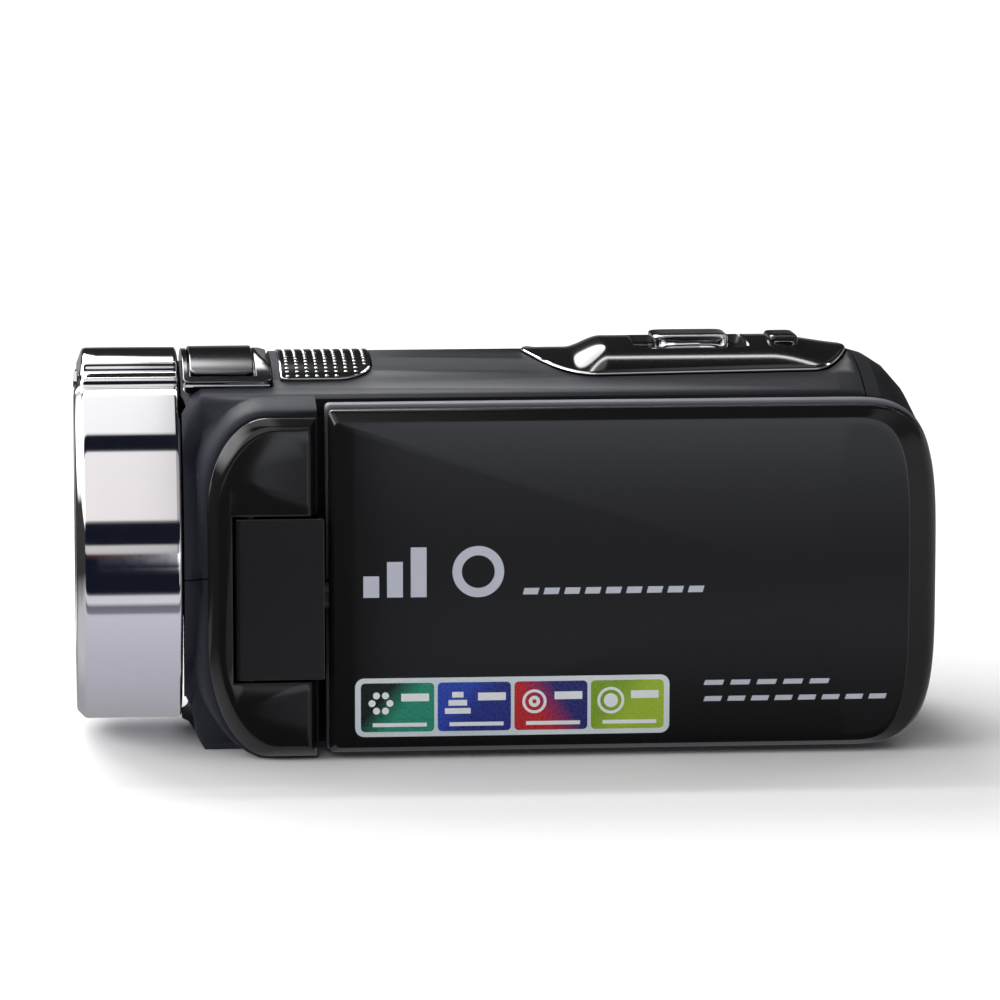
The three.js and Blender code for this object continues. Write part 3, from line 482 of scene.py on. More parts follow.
def add_piece(name, points, faces, slot, body, replaces=(), crease=35.0, material=None):
    """A finished mesh piece from points in millimetres, smooth up to the crease angle; faces
    with more than four corners are flat ends."""
    mesh = bpy.data.meshes.new(name)
    mesh.from_pydata((np.asarray(points, float) * MM).tolist(), [], faces)
    mesh.validate()
    piece = linked(name, mesh)
    outwards(mesh)
    corners = np.zeros(len(mesh.polygons), int)
    mesh.polygons.foreach_get("loop_total", corners)
    mesh.polygons.foreach_set("use_smooth", corners < 5)
    mesh.set_sharp_from_angle(angle=math.radians(crease))
    mesh.materials.append(material or finish_for(slot))
    if replaces:
        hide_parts(*replaces)
    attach(piece, body)
    return piece


def outwards(mesh):
    """Merges doubles and turns every face outwards."""
    work = bmesh.new()
    work.from_mesh(mesh)
    bmesh.ops.remove_doubles(work, verts=work.verts, dist=1e-7)
    bmesh.ops.recalc_face_normals(work, faces=work.faces)
    work.to_mesh(mesh)
    work.free()


def grid_faces(rows, columns, wrap_rows=False, wrap_columns=False):
    """Quads of a grid of rows by columns, as lists of vertex numbers."""
    i = np.arange(rows if wrap_rows else rows - 1)[:, None]
    j = np.arange(columns if wrap_columns else columns - 1)[None, :]
    at = lambda r, c: (r % rows) * columns + (c % columns)
    quads = np.stack([at(i, j), at(i, j + 1), at(i + 1, j + 1), at(i + 1, j)], axis=-1)
    return quads.reshape(-1, 4).tolist()


def lofted(rings):
    """Points and faces of a skin through rings of equal count, with flat ends."""
    rings = np.asarray(rings, float)
    rows, columns, _ = rings.shape
    faces = grid_faces(rows, columns, wrap_columns=True)
    faces += [list(range(columns)), list(range((rows - 1) * columns, rows * columns))]
    return rings.reshape(-1, 3), faces


def repeated(faces, size, count):
    """The quads of one shape of so many points, repeated for each copy of it."""
    return (np.array(faces)[None] + (np.arange(count) * size)[:, None, None]).reshape(-1, 4).tolist()


def arc(cx, cy, rx, ry, start, end, count):
    """Points of an elliptical arc about a centre, angles in degrees."""
    t = np.radians(np.linspace(start, end, count))
    return np.stack([cx + rx * np.cos(t), cy + ry * np.sin(t)], axis=-1)


def smoothstep(low, high, value):
    """Rises from 0 at low to 1 at high with level ends."""
    t = np.clip((value - low) / (high - low), 0, 1)
    return t * t * (3 - 2 * t)


def rounded_rectangle(x0, x1, y0, y1, radius, count=8):
    """Outline of a rectangle with round corners."""
    left, right, low, high = x0 + radius, x1 - radius, y0 + radius, y1 - radius
    centres = ((right, high), (left, high), (left, low), (right, low))
    corners = [arc(*centre, radius, radius, 90 * k, 90 * k + 90, count) for k, centre in enumerate(centres)]
    return np.concatenate(corners)


def crown(y):
    """Height of the casing's top at a distance y from the lens axis: a circle's arc."""
    return CROWN_Z - CROWN_RADIUS + np.sqrt(CROWN_RADIUS**2 - y**2)


def refined(node, bevel, crease=32.0, segments=2):
    """A copy of a CAD node, merged, with its flat faces joined and its edges rounded."""
    source = NODES[node]
    mesh = source.data.copy()
    mesh.name = node + "_finished"
    work = bmesh.new()
    work.from_mesh(mesh)
    bmesh.ops.remove_doubles(work, verts=work.verts, dist=2e-6)
    bmesh.ops.dissolve_limit(work, angle_limit=math.radians(0.6), verts=work.verts, edges=work.edges)
    work.to_mesh(mesh)
    work.free()
    mesh.polygons.foreach_set("use_smooth", np.ones(len(mesh.polygons), bool))
    mesh.set_sharp_from_angle(angle=math.radians(crease))
    mesh.materials.clear()
    mesh.materials.append(finish_for(SLOT_OF[node]))
    piece = linked(node + "_finished", mesh)
    if bevel:
        rounding = piece.modifiers.new("rounding", "BEVEL")
        rounding.width = bevel * MM
        rounding.segments = segments
        rounding.limit_method = "ANGLE"
        rounding.angle_limit = math.radians(crease)
        rounding.harden_normals = True
    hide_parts(node)
    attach(piece, source["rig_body"])


# ---- Chrome ring ----


class CAMCORDER_OT_lens_ring(bpy.types.Operator):
    """Turns the chrome ring with its lamp hump."""

    bl_idname = "camcorder.lens_ring"
    bl_label = "Lens ring"

    def execute(self, context):
        outer = RING_RADIUS
        bore = RING_BORE
        front = RING_LOW[0]
        rear = RING_HIGH[0]
        facet = sizes().ring_facet
        lip = 0.5
        soft = 0.35
        end = 0.55
        face = np.linspace(bore + lip + 0.7, outer - facet - 0.5, 14)
        slant = np.linspace(soft, facet - soft, 6)
        profile = np.concatenate([
            np.stack([np.linspace(rear, front + 9, 3), np.full(3, bore)], -1),
            arc(front + lip, bore + lip, lip, lip, 270, 180, 6),
            np.stack([np.full(len(face), front), face], -1),
            [[front + 0.02, outer - facet - 0.2], [front + 0.1, outer - facet + 0.08]],
            np.stack([front + slant, outer - facet + slant], -1),
            [[front + facet - 0.08, outer - 0.1], [front + facet + 0.2, outer - 0.02]],
            np.stack([np.linspace(front + facet + 0.6, rear - end - 0.2, 10), np.full(10, outer)], -1),
            arc(rear - end, outer - end, end, end, 90, 0, 7),
        ])
        turn = np.linspace(0, TURN, 960, endpoint=False)
        points = self.turned(profile, turn)
        faces = grid_faces(len(turn), len(profile), wrap_rows=True, wrap_columns=True)
        add_piece("ring_chrome", points.reshape(-1, 3), faces, "chrome", "root", ["lens_ring"], crease=40)
        return {"FINISHED"}

    @staticmethod
    def turned(profile, turn):
        """Each profile point [x, r] goes to [x, r sin t, axis + r cos t]; within the hump's angle
        the outer side is lifted in two steps, and the front face has a pocket for the lamp."""
        front = RING_LOW[0]
        x = np.broadcast_to(profile[None, :, 0], (len(turn), len(profile))).copy()
        r = np.broadcast_to(profile[None, :, 1], x.shape).copy()
        angle = np.degrees(np.abs((turn + math.pi) % TURN - math.pi))[:, None]
        inner = RING_BORE + 2.2
        share = np.clip((r - inner) / (RING_RADIUS - inner), 0, 1)
        rise = 1.05 * (1 - smoothstep(22.4, 24.6, angle)) + 0.95 * (1 - smoothstep(15.4, 19.4, angle))
        taper = 1 - 0.02 * smoothstep(6.0, 15.0, x - front)
        r += rise * share * np.where(share > 0.99, 1.0, share) * taper
        pocket = (angle < 18.6) & (r > RING_BORE + 1.3) & (r < RING_RADIUS + 0.7) & (x < front + 0.4)
        x = np.where(pocket, front + 5.9, x)
        return np.stack([x, r * np.sin(turn)[:, None], AXIS_Z + r * np.cos(turn)[:, None]], -1)


# ---- Screen ----


def panel_outline(hinge, edge, rear, count=90):
    """Outline [x, z] of the screen panel: straight at the hinge and a superellipse at the rear;
    its foot is drawn in half as far as its top."""
    x0 = COVER_LOW[0] + hinge
    z0 = COVER_LOW[2] + 0.5 * edge
    z1 = COVER_HIGH[2] - edge
    reach = 14.0
    power = 4.0
    t = np.radians(np.linspace(-90, 90, count))
    middle = (z0 + z1) / 2
    curve = np.stack([
        COVER_HIGH[0] - reach + (reach - rear) * np.abs(np.cos(t)) ** (2 / power),
        middle + (z1 - z0) / 2 * np.sign(t) * np.abs(np.sin(t)) ** (2 / power),
    ], -1)
    small = 0.7
    return np.concatenate([
        arc(x0 + small, z1 - small, small, small, 90, 180, 6),
        arc(x0 + small, z0 + small, small, small, 180, 270, 6),
        curve,
    ])


def face_depth(x, z):
    """Outer face of the screen cover: a shallow dome, lowest at its rim."""
    middle_x = (COVER_LOW[0] + COVER_HIGH[0]) / 2
    middle_z = (COVER_LOW[2] + COVER_HIGH[2]) / 2
    across = ((z - middle_z) / 24.0) ** 2
    along = ((x - middle_x) / 43.0) ** 4
    return COVER_LOW[1] + 0.06 + 0.22 * across + 0.25 * along


def at_depth(outline, y):
    """Puts an outline [x, z] at a depth y, which may be a number or one value for each point."""
    return np.stack([outline[:, 0], np.broadcast_to(y, len(outline)), outline[:, 1]], -1)


class CAMCORDER_OT_screen(bpy.types.Operator):
    """Shapes the screen's glossy cover and its matte inner frame."""

    bl_idname = "camcorder.screen"
    bl_label = "Screen panel"

    def execute(self, context):
        self.cover()
        self.inner_frame()
        return {"FINISHED"}

    def cover(self):
        """Profile carried round the panel's outline: wall, facet with soft edges, then rows that
        shrink to the middle of a shallow dome."""
        bevel = sizes().panel_bevel
        back = COVER_HIGH[1]
        lip = 0.42
        slope = 0.5 * bevel
        rim = panel_outline(0.3 + slope, lip + bevel, 4.4)
        face = face_depth(rim[:, 0], rim[:, 1])
        drop = 1.35 / (COVER_HIGH[1] - COVER_LOW[1])
        wall = [(0.0, 0.6, 0.8, 0.5), (0.02, 0.4, 0.5, 0.2), (0.06, 0.3, lip, 0.06), (0.34, 0.3, lip, 0.22),
                (0.54, 0.3, lip, 0.8), (0.99 - drop, 0.3, lip, 1.5)]
        facet = [(0.03, 1.65), (0.25, 2.3), (0.5, 2.95), (0.75, 3.6), (0.93, 4.1), (0.98, 4.25), (0.995, 4.32)]
        for part, rear in facet:
            wall.append((1 - drop * (1 - part), 0.3 + slope * part * 0.96, lip + bevel * part * 0.96, rear))
        rings = [at_depth(panel_outline(h, e, r), back + share * (face - back)) for share, h, e, r in wall]
        middle = rim.mean(0)
        for share in np.linspace(1, 0.02, 24):
            row = middle + (rim - middle) * share
            rings.append(at_depth(row, face_depth(row[:, 0], row[:, 1])))
        points, faces = lofted(rings)
        add_piece("screen_cover_gloss", points, faces, "gloss_black", "screen", ["screen_cover"], crease=50)

    def inner_frame(self):
        """The same outline a little inside, with a window for the display."""
        glass_low, glass_high = box_mm("screen_glass")
        y0 = FRAME_LOW[1]
        y1 = FRAME_HIGH[1]
        window = self.window(glass_low, glass_high)
        rows = [(y0, 0.4, 0.4, 0.3), (y0 + 0.1, 0.12, 0.16, 0.1), (y0 + 0.35, 0.0, 0.0, 0.0),
                (y1 - 1.1, 0.05, 0.02, 0.2), (y1 - 0.5, 0.25, 0.3, 0.5), (y1, 0.8, 1.0, 1.2)]
        rings = [at_depth(panel_outline(h, e, r), y) for y, h, e, r in rows]
        rings.append(at_depth(window, y1))
        rings.append(at_depth(window, y1 - 1.2))
        rings.append(at_depth(window, y0))
        points = np.asarray(rings).reshape(-1, 3)
        faces = grid_faces(len(rings), len(window), wrap_rows=True, wrap_columns=True)
        add_piece("screen_frame_matte", points, faces, "grey_plastic", "screen", ["screen_frame"], crease=40,
                  material=plain_plastic("frame_grey", (0.13, 0.132, 0.155), 0.45, 0.00008))

    @staticmethod
    def window(low, high):
        """A rectangle with as many points as the outline, each one where the ray from the
        middle through the outline's point meets it."""
        outline = panel_outline(0, 0, 0)
        middle = np.array([(low[0] + high[0]) / 2, (low[2] + high[2]) / 2])
        half = np.array([(high[0] - low[0]) / 2 + 0.2, (high[2] - low[2]) / 2 + 0.2])
        ray = outline - middle
        scale = np.min(half / np.maximum(np.abs(ray), 1e-6), axis=1)
        return middle + ray * scale[:, None]


# ---- Hinge ----


ARM_SWING = 2.98  # clear radius round the swing pin


def hinge_outline(inset, notch, y):
    """Outline [x, z] of the hinge cover at a depth: two long elliptical corners, and a notch for
    the arm whose inner side follows the arm's swing round the pin."""
    x0 = HINGE_LOW[0] - 0.2 + inset
    x1 = HINGE_HIGH[0] - inset * 0.75
    z0 = HINGE_LOW[2] - 0.2 + inset
    z1 = HINGE_HIGH[2] + 0.2 - inset
    pin = middle_of("swing_pin")
    left = pin[0] - math.sqrt(ARM_SWING**2 - (y - pin[1]) ** 2) - notch
    low = ARM_LOW[2] - 0.3 - notch
    high = ARM_HIGH[2] + 0.3 + notch
    straight = lambda a, b, n: np.linspace(a, b, n, endpoint=False)
    return np.concatenate([
        arc(x0 + 8.4, z1 - 13, 8.4, 13, 90, 180, 28),
        arc(x0 + 8.4, z0 + 16, 8.4, 16, 180, 270, 28),
        straight((x0 + 8.6, z0), (x1, z0), 4),
        straight((x1, z0), (x1, low), 6),
        straight((x1, low), (left, low), 6),
        straight((left, low), (left, high), 6),
        straight((left, high), (x1, high), 6),
        straight((x1, high), (x1, z1), 6),
        straight((x1, z1), (x0 + 8.6, z1), 4),
    ])


class CAMCORDER_OT_hinge(bpy.types.Operator):
    """Shapes the hinge cover with its notch, and rounds the arm."""

    bl_idname = "camcorder.hinge"
    bl_label = "Hinge cover and arm"

    def execute(self, context):
        back = HINGE_HIGH[1]
        face = HINGE_LOW[1]
        rows = [(back, 0.25, 0.0), (back - 0.2, 0.2, 0.0), (back - 0.75, 0.2, 0.0), (back - 0.9, 0.26, 0.0),
                (face + 0.4, 1.1, 0.0), (face + 0.3, 1.2, 0.02), (face + 0.17, 1.38, 0.07),
                (face + 0.07, 1.56, 0.14), (face + 0.02, 1.74, 0.24), (face, 1.9, 0.34)]
        rings = [at_depth(hinge_outline(inset, notch, y), y) for y, inset, notch in rows]
        points, faces = lofted(rings)
        add_piece("hinge_cover_gloss", points, faces, "gloss_black", "root", ["hinge_cover"], crease=28)
        refined("hinge_arm", 0.55, segments=5)
        return {"FINISHED"}


# ---- Top ----


def leaf_half(t):
    """Half width of the platform's boat shape at a share t of its length: part ellipses at both
    ends, narrowing a little rearwards."""
    swell = lambda share, power: (1 - (1 - np.clip(share, 0, 1)) ** 2) ** power
    return (12.9 - 1.3 * t) * swell(t / 0.21, 0.62) * swell((1 - t) / 0.125, 0.75)


def bead(name, line, radius, closed, replaces=()):
    """A thin plated round bead carried along a line [x, y] on the crown."""
    path = np.stack([line[:, 0], line[:, 1], crown(line[:, 1]) + 0.12], -1)
    ahead = np.roll(path, -1, 0) - np.roll(path, 1, 0) if closed else np.gradient(path, axis=0)
    ahead /= np.linalg.norm(ahead, axis=1)[:, None]
    side = np.cross(ahead, [0, 0, 1.0])
    side /= np.linalg.norm(side, axis=1)[:, None]
    up = np.cross(side, ahead)
    turn = np.linspace(0, TURN, 10, endpoint=False)
    rings = path[:, None] + radius * (
        np.cos(turn)[None, :, None] * side[:, None] + np.sin(turn)[None, :, None] * up[:, None])
    points, faces = lofted(rings)
    if closed:
        faces = grid_faces(len(path), len(turn), wrap_rows=True, wrap_columns=True)
    add_piece(name, points, faces, "chrome", "root", replaces)


class CAMCORDER_OT_top(bpy.types.Operator):
    """Shapes the platform, its trim, the zoom lever and the shutter button."""

    bl_idname = "camcorder.top"
    bl_label = "Top controls"

    def execute(self, context):
        self.platform()
        self.trim()
        self.lever()
        self.shutter()
        refined("lamp_housing", 0.25, segments=3)
        refined("lamp_deck", 0.3, segments=3)
        return {"FINISHED"}

    def platform(self):
        """Top sheet z(x, s) = crown + rise(x) times a shoulder 1 - u^2 across the leaf, with a
        level pocket round the lever; a lower sheet closes it under the casing's skin."""
        x0 = PLATFORM_LOW[0] - 0.5
        x1 = PLATFORM_HIGH[0] + 0.4
        t = (1 - np.cos(np.linspace(0, math.pi, 300))) / 2
        s = np.sin(np.linspace(-math.pi / 2, math.pi / 2, 121))
        x = (x0 + t * (x1 - x0))[:, None] + 0 * s[None, :]
        y = 0.965 * leaf_half(t)[:, None] * s[None, :]
        ramp = smoothstep(8.6, 13.9, x) * (1 - 0.95 * smoothstep(37.0, 51.0, x))
        shoulder = 1 - np.clip((np.abs(y) - 5.2) / 7.6, 0, 1) ** 2
        z = crown(y) + 0.28 + (PLATFORM_HIGH[2] - CROWN_Z - 0.3) * ramp * shoulder
        z = np.where(np.abs(s)[None, :] > 0.995, crown(y) + 0.1, z)
        pocket = (smoothstep(17.6, 18.4, x) - smoothstep(33.3, 34.1, x)) * (
            smoothstep(-7.2, -6.4, y) - smoothstep(2.3, 3.1, y))
        z = z * (1 - pocket) + np.minimum(z, CROWN_Z + 0.4) * pocket
        under = np.stack([x, y, crown(y) - 0.9], -1)
        points, faces = lofted(np.concatenate([np.stack([x, y, z], -1), under[:, ::-1]], axis=1))
        add_piece("platform_gloss", points, faces, "gloss_black", "root", ["top_platform"], crease=50)

    def trim(self):
        """A bead round the leaf's outline, and a straight one below the lamp housing."""
        x0 = TRIM_LOW[0] + 0.35
        x1 = TRIM_HIGH[0] - 0.35
        t = (1 - np.cos(np.linspace(0, math.pi, 160))) / 2
        x = x0 + t * (x1 - x0)
        y = 0.975 * leaf_half(t)
        line = np.concatenate([np.stack([x, -y], -1), np.stack([x, y], -1)[-2:0:-1]])
        bead("platform_bead", line, 0.26, True, ["platform_trim"])
        low, high = box_mm("lamp_housing")
        x = np.linspace(low[0] + 0.3, high[0] - 0.3, 12)
        bead("housing_bead", np.stack([x, np.full(12, low[1] - 0.05)], -1), 0.2, False)

    @staticmethod
    def block(low, high, power, dent, rows=96, columns=160):
        """A rounded block: a superellipsoid whose near side is hollowed by a soft dent."""
        middle = (low + high) / 2
        half = (high - low) / 2
        v = np.linspace(-math.pi / 2, math.pi / 2, rows)[:, None]
        u = np.linspace(0, TURN, columns, endpoint=False)[None, :]
        bend = lambda value: np.sign(value) * np.abs(value) ** power
        x = bend(np.cos(v)) * bend(np.cos(u))
        y = bend(np.cos(v)) * bend(np.sin(u))
        z = bend(np.sin(v)) + 0 * u
        hollow = dent * np.exp(-((x / 0.72) ** 4) - ((z / 0.62) ** 4)) * smoothstep(0.2, 0.9, -y)
        y = y + hollow / half[1]
        points = middle + half * np.stack([x, y, z], -1)
        faces = grid_faces(rows, columns, wrap_columns=True)
        return points.reshape(-1, 3), faces

    def lever(self):
        """The plated zoom lever: a rounded bar with a thumb hollow on its near side."""
        low = np.array([LEVER_LOW[0], LEVER_LOW[1], CROWN_Z + 0.1])
        points, faces = self.block(low, LEVER_HIGH, 0.22, 0.7)
        add_piece("zoom_lever_chrome", points, faces, "chrome", "zoom", ["zoom_lever"], crease=60)

    def shutter(self):
        """The shutter button: a black block with a plated thumb scoop on its near side."""
        low = np.array([SHUTTER_LOW[0], SHUTTER_LOW[1], CROWN_Z - 1.5])
        points, faces = self.block(low, SHUTTER_HIGH, 0.3, 0.5)
        add_piece("shutter_block", points, faces, "gloss_black", "shutter", ["shutter_button"], crease=60)
        low = np.array([SHUTTER_LOW[0] + 0.5, SHUTTER_LOW[1] - 0.02, CROWN_Z + 0.3])
        high = np.array([SHUTTER_HIGH[0] - 0.5, SHUTTER_LOW[1] + 2.0, SHUTTER_HIGH[2] - 0.8])
        points, faces = self.block(low, high, 0.45, 0.9, 48, 80)
        add_piece("shutter_scoop", points, faces, "chrome", "shutter", crease=60)


class CAMCORDER_OT_grille(bpy.types.Operator):
    """Sets the rows of small domes on the speaker grille."""

    bl_idname = "camcorder.grille"
    bl_label = "Speaker grille"

    def execute(self, context):
        refined("speaker_grille", 0.2, segments=2)
        pitch = sizes().dot_pitch
        radius = sizes().dot_radius
        columns = np.arange(GRILLE_LOW[0] + 0.95, GRILLE_HIGH[0] - 0.8, pitch)
        angles = np.arange(-9, 10) * pitch / CROWN_RADIUS
        x, a = [v.ravel() for v in np.meshgrid(columns, angles)]
        y = CROWN_RADIUS * np.sin(a)
        inside = np.hypot(np.maximum(0, x - (GRILLE_HIGH[0] - 5)), np.maximum(0, np.abs(y) - 8)) < 4.2
        x, a = x[inside], a[inside]
        v = np.linspace(0, math.pi / 2, 4)
        u = np.linspace(0, TURN, 10, endpoint=False)
        local_x = radius * np.sin(v)[:, None] * np.cos(u)
        local_s = radius * np.sin(v)[:, None] * np.sin(u)
        lift = 0.22 + 0.14 * np.cos(v)[:, None] + 0 * u
        distance = CROWN_RADIUS + lift[None]
        turn = a[:, None, None] + local_s[None] / CROWN_RADIUS
        points = np.stack([
            x[:, None, None] + local_x[None], distance * np.sin(turn),
            CROWN_Z - CROWN_RADIUS + distance * np.cos(turn)], -1)
        count = len(v) * len(u)
        faces = repeated(grid_faces(len(v), len(u), wrap_columns=True), count, len(x))
        base = np.arange(count - len(u), count)
        faces += [(base[::-1] + k * count).tolist() for k in range(len(x))]
        add_piece("grille_dots", points.reshape(-1, 3), faces, "chrome", "root", crease=70)
        left = GRILLE_LOW[0] + 0.1
        corner = GRILLE_HIGH[0] - 5
        near = GRILLE_LOW[1] + 0.1
        bead("grille_bead", np.concatenate([
            np.stack([np.full(30, left), np.linspace(-near - 0.4, near + 0.4, 30)], -1),
            np.stack([np.linspace(left + 0.3, corner, 16), np.full(16, near)], -1),
            arc(corner, near + 4.8, 4.8, 4.8, 275, 345, 12)]), 0.2, False)
        return {"FINISHED"}


# ---- Everything else of the frame ----


ROUNDED = {
    "upper_shell": 0.0, "lower_shell": 0.0, "rear_cover": 0.0, "battery_door": 0.15, "door_latch": 0.2,
    "record_button": 0.4, "record_ring": 0.3, "rear_key_1": 0.35, "rear_key_2": 0.35, "bay_key_1": 0.3,
    "bay_key_2": 0.3, "bay_key_3": 0.3, "status_lamp": 0.2, "port_cover": 0.15, "hood": 0.0,
    "retaining_ring": 0.1, "front_glass": 0.0, "strap_bracket_front": 0.35, "strap_bracket_rear": 0.35,
    "tripod_socket": 0.15, "base_screw_1": 0.1, "base_screw_2": 0.1, "base_screw_3": 0.1, "base_screw_4": 0.1,
    "lamp_window": 0.1, "screen_glass": 0.05, "lens_tube": 0.0, "rear_glass": 0.0,
}


class CAMCORDER_OT_frame(bpy.types.Operator):
    """Rounds and finishes the pieces whose shape the frame already holds."""

    bl_idname = "camcorder.frame"
    bl_label = "Casing and small parts"

    def execute(self, context):
        for node, bevel in ROUNDED.items():
            refined(node, bevel)
        for node, item in NODES.items():
            item.data.materials.clear()
            item.data.materials.append(finish_for(SLOT_OF[node]))
        blackened = plain_plastic("blackened_steel", (0.012, 0.012, 0.014), 0.3, 0.00003)
        for node in ("swing_pin", "tilt_shaft"):
            NODES[node].data.materials[0] = blackened
        coated = coated_glass("front_coating", (0.03, 0.012, 0.06))
        for node, material in (("lamp_window", lamp_glass()), ("front_glass", coated)):
            bpy.data.objects[node + "_finished"].data.materials[0] = material
        return {"FINISHED"}


# ---- Printed marks ----


def flat_mark(name, outline, lift, material):
    """A thin printed plate: an outline [x, z], with its sides cut finer, shrunk in rows to its
    middle on the screen cover's dome."""
    sides = np.linspace(0, 1, 6, endpoint=False)[None, :, None]
    fine = (outline[:, None] * (1 - sides) + np.roll(outline, -1, 0)[:, None] * sides).reshape(-1, 2)
    middle = fine.mean(0)
    rows = [middle + (fine - middle) * share for share in np.linspace(1, 0.05, 9)]
    depth = lambda row, up: face_depth(row[:, 0], row[:, 1]) - up
    rings = [at_depth(fine, depth(fine, -0.05))] + [at_depth(row, depth(row, lift)) for row in rows]
    points, faces = lofted(rings)
    add_piece(name, points, faces, "gloss_black", "screen", crease=20, material=material)


def bar_outline(x0, x1, z0, z1, lean=0.0):
    """A bar whose top is shifted sideways by lean."""
    return np.array([[x0, z0], [x1, z0], [x1 + lean, z1], [x0 + lean, z1]])


class CAMCORDER_OT_marks(bpy.types.Operator):
    """Prints the generic marks on the screen cover: bars, rings and a strip of four tiles."""

    bl_idname = "camcorder.marks"
    bl_label = "Printed marks"

    def execute(self, context):
        silver = lacquer("silver_print", tuple(colours().mark), metallic=0.35, rough=0.3)
        self.emblem(silver)
        self.dashes(silver)
        self.strip(silver)
        return {"FINISHED"}

    def emblem(self, silver):
        """A ring beside three rising bars."""
        z0 = 22.9
        for k, height in enumerate((3.0, 5.0, 7.0)):
            x = -22.2 + 3.3 * k
            flat_mark(f"mark_bar_{k + 1}", bar_outline(x, x + 2.2, z0, z0 + height), 0.02, silver)
        self.loop("mark_ring", -6.2, z0 + 3.5, 3.6, 2.3, silver, 0.02)

    @staticmethod
    def loop(name, cx, cz, outer, inner, material, lift, count=64):
        """A flat ring: an outer and an inner circle joined on the dome."""
        wide = arc(cx, cz, outer, outer, 0, 360 - 360 / count, count)
        tight = arc(cx, cz, inner, inner, 0, 360 - 360 / count, count)
        rings = [at_depth(o, face_depth(o[:, 0], o[:, 1]) + d)
                 for o, d in ((wide, 0.05), (wide, -lift), (tight, -lift), (tight, 0.05))]
        points = np.asarray(rings).reshape(-1, 3)
        faces = grid_faces(4, count, wrap_rows=True, wrap_columns=True)
        add_piece(name, points, faces, "gloss_black", "screen", crease=20, material=material)

    def dashes(self, silver):
        """Rows of plain dashes where a maker would print words."""
        rows = [(0.0, 26.0, 23.1, 0.9, 9, "upper"), (25.4, 52.0, 7.6, 0.7, 8, "lower"),
                (25.4, 44.0, 9.9, 0.7, 5, "middle")]
        for x0, x1, z, height, count, label in rows:
            pitch = (x1 - x0) / count
            for k in range(count):
                x = x0 + k * pitch
                dash = bar_outline(x, x + pitch * 0.72, z, z + height, 0.25)
                flat_mark(f"dash_{label}_{k + 1}", dash, 0.02, silver)

    def strip(self, silver):
        """A silver strip with four coloured tiles, each with a simple sign."""
        x0, x1, z0, z1 = -23.4, 20.6, 3.2, 11.5
        flat_mark("tile_strip", rounded_rectangle(x0, x1, z0, z1, 1.3), 0.02,
                  lacquer("strip_silver", (0.66, 0.76, 0.8), (0.78, 0.84, 0.86), 0.2, 0.25))
        tints = [((0.003, 0.01, 0.008), (0.01, 0.26, 0.16)), ((0.012, 0.05, 0.42), (0.008, 0.02, 0.22)),
                 ((0.01, 0.015, 0.16), (0.5, 0.008, 0.014)), ((0.2, 0.36, 0.01), (0.34, 0.5, 0.02))]
        white = lacquer("white_print", (0.8, 0.83, 0.85), rough=0.35)
        width = (x1 - x0 - 1.6 - 3 * 0.5) / 4
        z0, z1 = z0 + 0.7, z1 - 0.7
        for k, (near, far) in enumerate(tints):
            x = x0 + 0.8 + k * (width + 0.5)
            start, end = ((x + width, x) if k == 2 else (x, x + 0.8 * width))
            paint = lacquer(f"tile_colour_{k + 1}", near, far, span=((start, z1), (end, z0)))
            flat_mark(f"tile_{k + 1}", rounded_rectangle(x, x + width, z0, z1, 0.6), 0.035, paint)
            self.sign(k, x, width, z0, z1, white)

    def sign(self, k, x, width, z0, z1, white):
        """Dots, a pyramid of bars, nested rings or a round target, with two dashes beside it."""
        cx = x + 2.8
        cz = (z0 + z1) / 2 + 0.6
        if k == 0:
            for i, angle in enumerate(np.radians(np.arange(0, 360, 60))):
                centre = (cx + 1.25 * math.cos(angle), cz + 1.25 * math.sin(angle))
                flat_mark(f"sign_1_dot_{i + 1}", arc(*centre, 0.5, 0.5, 0, 330, 12), 0.05, white)
        if k == 1:
            for i in range(3):
                half, foot = 1.8 - 0.5 * i, cz - 1.6 + 1.15 * i
                bar = bar_outline(cx - half, cx + half, foot, foot + 0.8)
                flat_mark(f"sign_2_bar_{i + 1}", bar, 0.05, white)
        if k == 2:
            self.loop("sign_3_ring", cx, cz, 1.7, 1.3, white, 0.05, 32)
            self.loop("sign_3_core", cx, cz, 0.8, 0.3, white, 0.05, 24)
        if k == 3:
            flat_mark("sign_4_disc", arc(cx, cz, 1.0, 1.0, 0, 345, 24), 0.05, white)
            self.loop("sign_4_ring", cx, cz, 1.9, 1.5, white, 0.05, 32)
        for i, (a, b, z, height) in enumerate(((0.55, 0.93, z1 - 2.6, 1.1), (0.16, 0.9, z0 + 0.7, 0.55))):
            line = bar_outline(x + width * a, x + width * b, z, z + height)
            flat_mark(f"sign_{k + 1}_line_{i + 1}", line, 0.05, white)


# ---- Hand strap ----


STRAP_THICKNESS = 1.6
STRAP_BOW = 2.4
BAR_RADIUS = 1.4
PAD_THICKNESS = 5.0
PAD_REACH = 31.0
STITCH_REACH = 23
STITCH_ROW = 8.6


def strap_line(t, offset):
    """The strap's centre line in plan at a share t from -1 to 1, moved outwards by offset:
    y falls from the middle as a power of the share."""
    front = middle_of("strap_bracket_front")[0]
    rear = middle_of("strap_bracket_rear")[0]
    middle = (front + rear) / 2
    span = (rear - front) / 2
    bar_y = box_mm("strap_bracket_front")[1][1] - 1.8
    rise = STRAP_HIGH[1] - STRAP_THICKNESS / 2 - bar_y
    x = middle + span * t
    y = bar_y + rise * (1 - np.abs(t) ** STRAP_BOW)
    slope = -rise * STRAP_BOW * np.sign(t) * np.abs(t) ** (STRAP_BOW - 1) / span
    length = np.hypot(1, slope)
    return np.stack([x - offset * slope / length, y + offset / length], -1)


def strap_span():
    """Half the distance between the strap's two bars."""
    ends = strap_line(np.array([-1.0, 1.0]), 0)
    return (ends[1, 0] - ends[0, 0]) / 2


